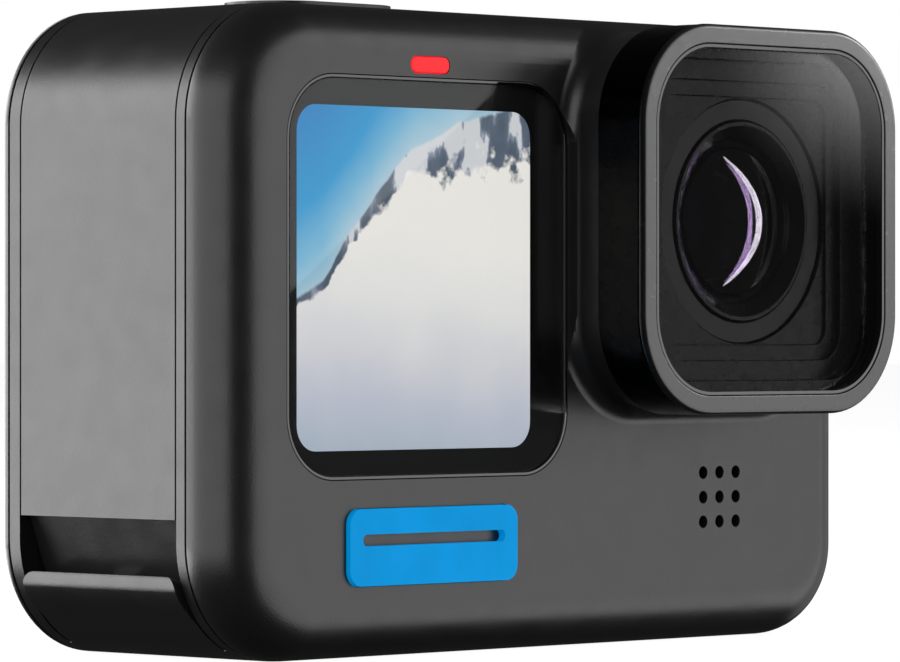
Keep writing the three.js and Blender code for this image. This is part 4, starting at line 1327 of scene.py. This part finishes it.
glass_card("screen_card", SCREEN_POINT, -27.4, 67.7, 110, 60, 0.62, ["screen_glass"], 44.5)
fade_light(glass_card("cover_card", COVER_POINT, 46, 74, 68, 68, 6.0, ["cover_pane"]))
glass_card("rim_card", COVER_POINT, 130, 150, 160, 160, 10, ["cover_rim"])


def glow(name, color, strength):
    made = bpy.data.materials.new(name)
    made.use_nodes = True
    tree = made.node_tree
    tree.nodes.remove(tree.nodes["Principled BSDF"])
    light = tree.nodes.new("ShaderNodeEmission")
    light.inputs["Color"].default_value = (*color, 1)
    light.inputs["Strength"].default_value = strength
    tree.links.new(light.outputs[0], tree.nodes["Material Output"].inputs["Surface"])
    return made


def mirrored_point(dx, dz):
    """Where the camera looks to, by way of the front lens, through a point of the lens off its axis."""
    radius = dome_radius(LENS_EDGE, FRONT_SAG)
    normal = Vector((dx, -math.sqrt(radius ** 2 - dx ** 2 - dz ** 2), dz)) / radius
    point = Vector((LENS.x + dx, FRONT_APEX + radius * (1 + normal.y), LENS.z + dz))
    ray = (point - CAMERA_PLACE).normalized().reflect(normal)
    return point + ray * CRESCENT_DISTANCE


def crescent_card():
    """A curved strip light, placed so that the front lens shows it as a crescent."""
    verts = []
    for i in range(CRESCENT_STEPS + 1):
        t = -1 + 2 * i / CRESCENT_STEPS
        width = CRESCENT_WIDTH * (CRESCENT_TIP + math.sqrt(max(1 - t * t, 0.0)))
        middle_x = CRESCENT_BOW * (1 - t * t) - CRESCENT_SHIFT
        verts += [mirrored_point(middle_x + side * width, CRESCENT_REACH * t) for side in (-0.5, 0.5)]
    faces = [(2 * i, 2 * i + 1, 2 * i + 3, 2 * i + 2) for i in range(CRESCENT_STEPS)]
    card = mesh_object("crescent_card", verts, faces)
    card.data.materials.append(glow("card_glow", (0.93, 0.84, 1.0), 10))
    card.visible_camera = False
    link_light(card, LENSES, "INCLUDE")


crescent_card()


# ---------------------------------------------------------------- floor and backdrop
FLOOR_REACH = 3000
ROOM_COLOR = (0.035, 0.035, 0.035)


def studio_floor():
    corners = [(x * FLOOR_REACH, y * FLOOR_REACH, 0) for x, y in ((-1, -1), (1, -1), (1, 1), (-1, 1))]
    floor = mesh_object("floor", corners, [(0, 1, 2, 3)])
    paper = Finish("floor_paper", (0.18, 0.18, 0.18), 0.9)
    paper.set("Emission_Color", (1, 1, 1, 1))
    paper.set("Emission_Strength", 0.95)
    paper.tone(paper.noise(60, 3), 0.02)
    floor.data.materials.append(paper.material)
    floor.visible_diffuse = False
    floor.visible_glossy = False
    floor.visible_transmission = False


def studio_world():
    """A white backdrop for the camera, in a dim room for everything else."""
    scene = bpy.context.scene
    scene.view_settings.view_transform = "Standard"
    scene.world = bpy.data.worlds.new("studio")
    scene.world.use_nodes = True
    nodes, links = scene.world.node_tree.nodes, scene.world.node_tree.links
    path = nodes.new("ShaderNodeLightPath")
    mix = nodes.new("ShaderNodeMixShader")
    backdrop = nodes["Background"]
    backdrop.inputs["Strength"].default_value = 1.0
    backdrop.inputs["Color"].default_value = (1, 1, 1, 1)
    room = nodes.new("ShaderNodeBackground")
    room.inputs["Color"].default_value = (*ROOM_COLOR, 1)
    links.new(path.outputs["Is Camera Ray"], mix.inputs["Fac"])
    links.new(room.outputs["Background"], mix.inputs[1])
    links.new(backdrop.outputs["Background"], mix.inputs[2])
    links.new(mix.outputs["Shader"], nodes["World Output"].inputs["Surface"])


studio_floor()
studio_world()
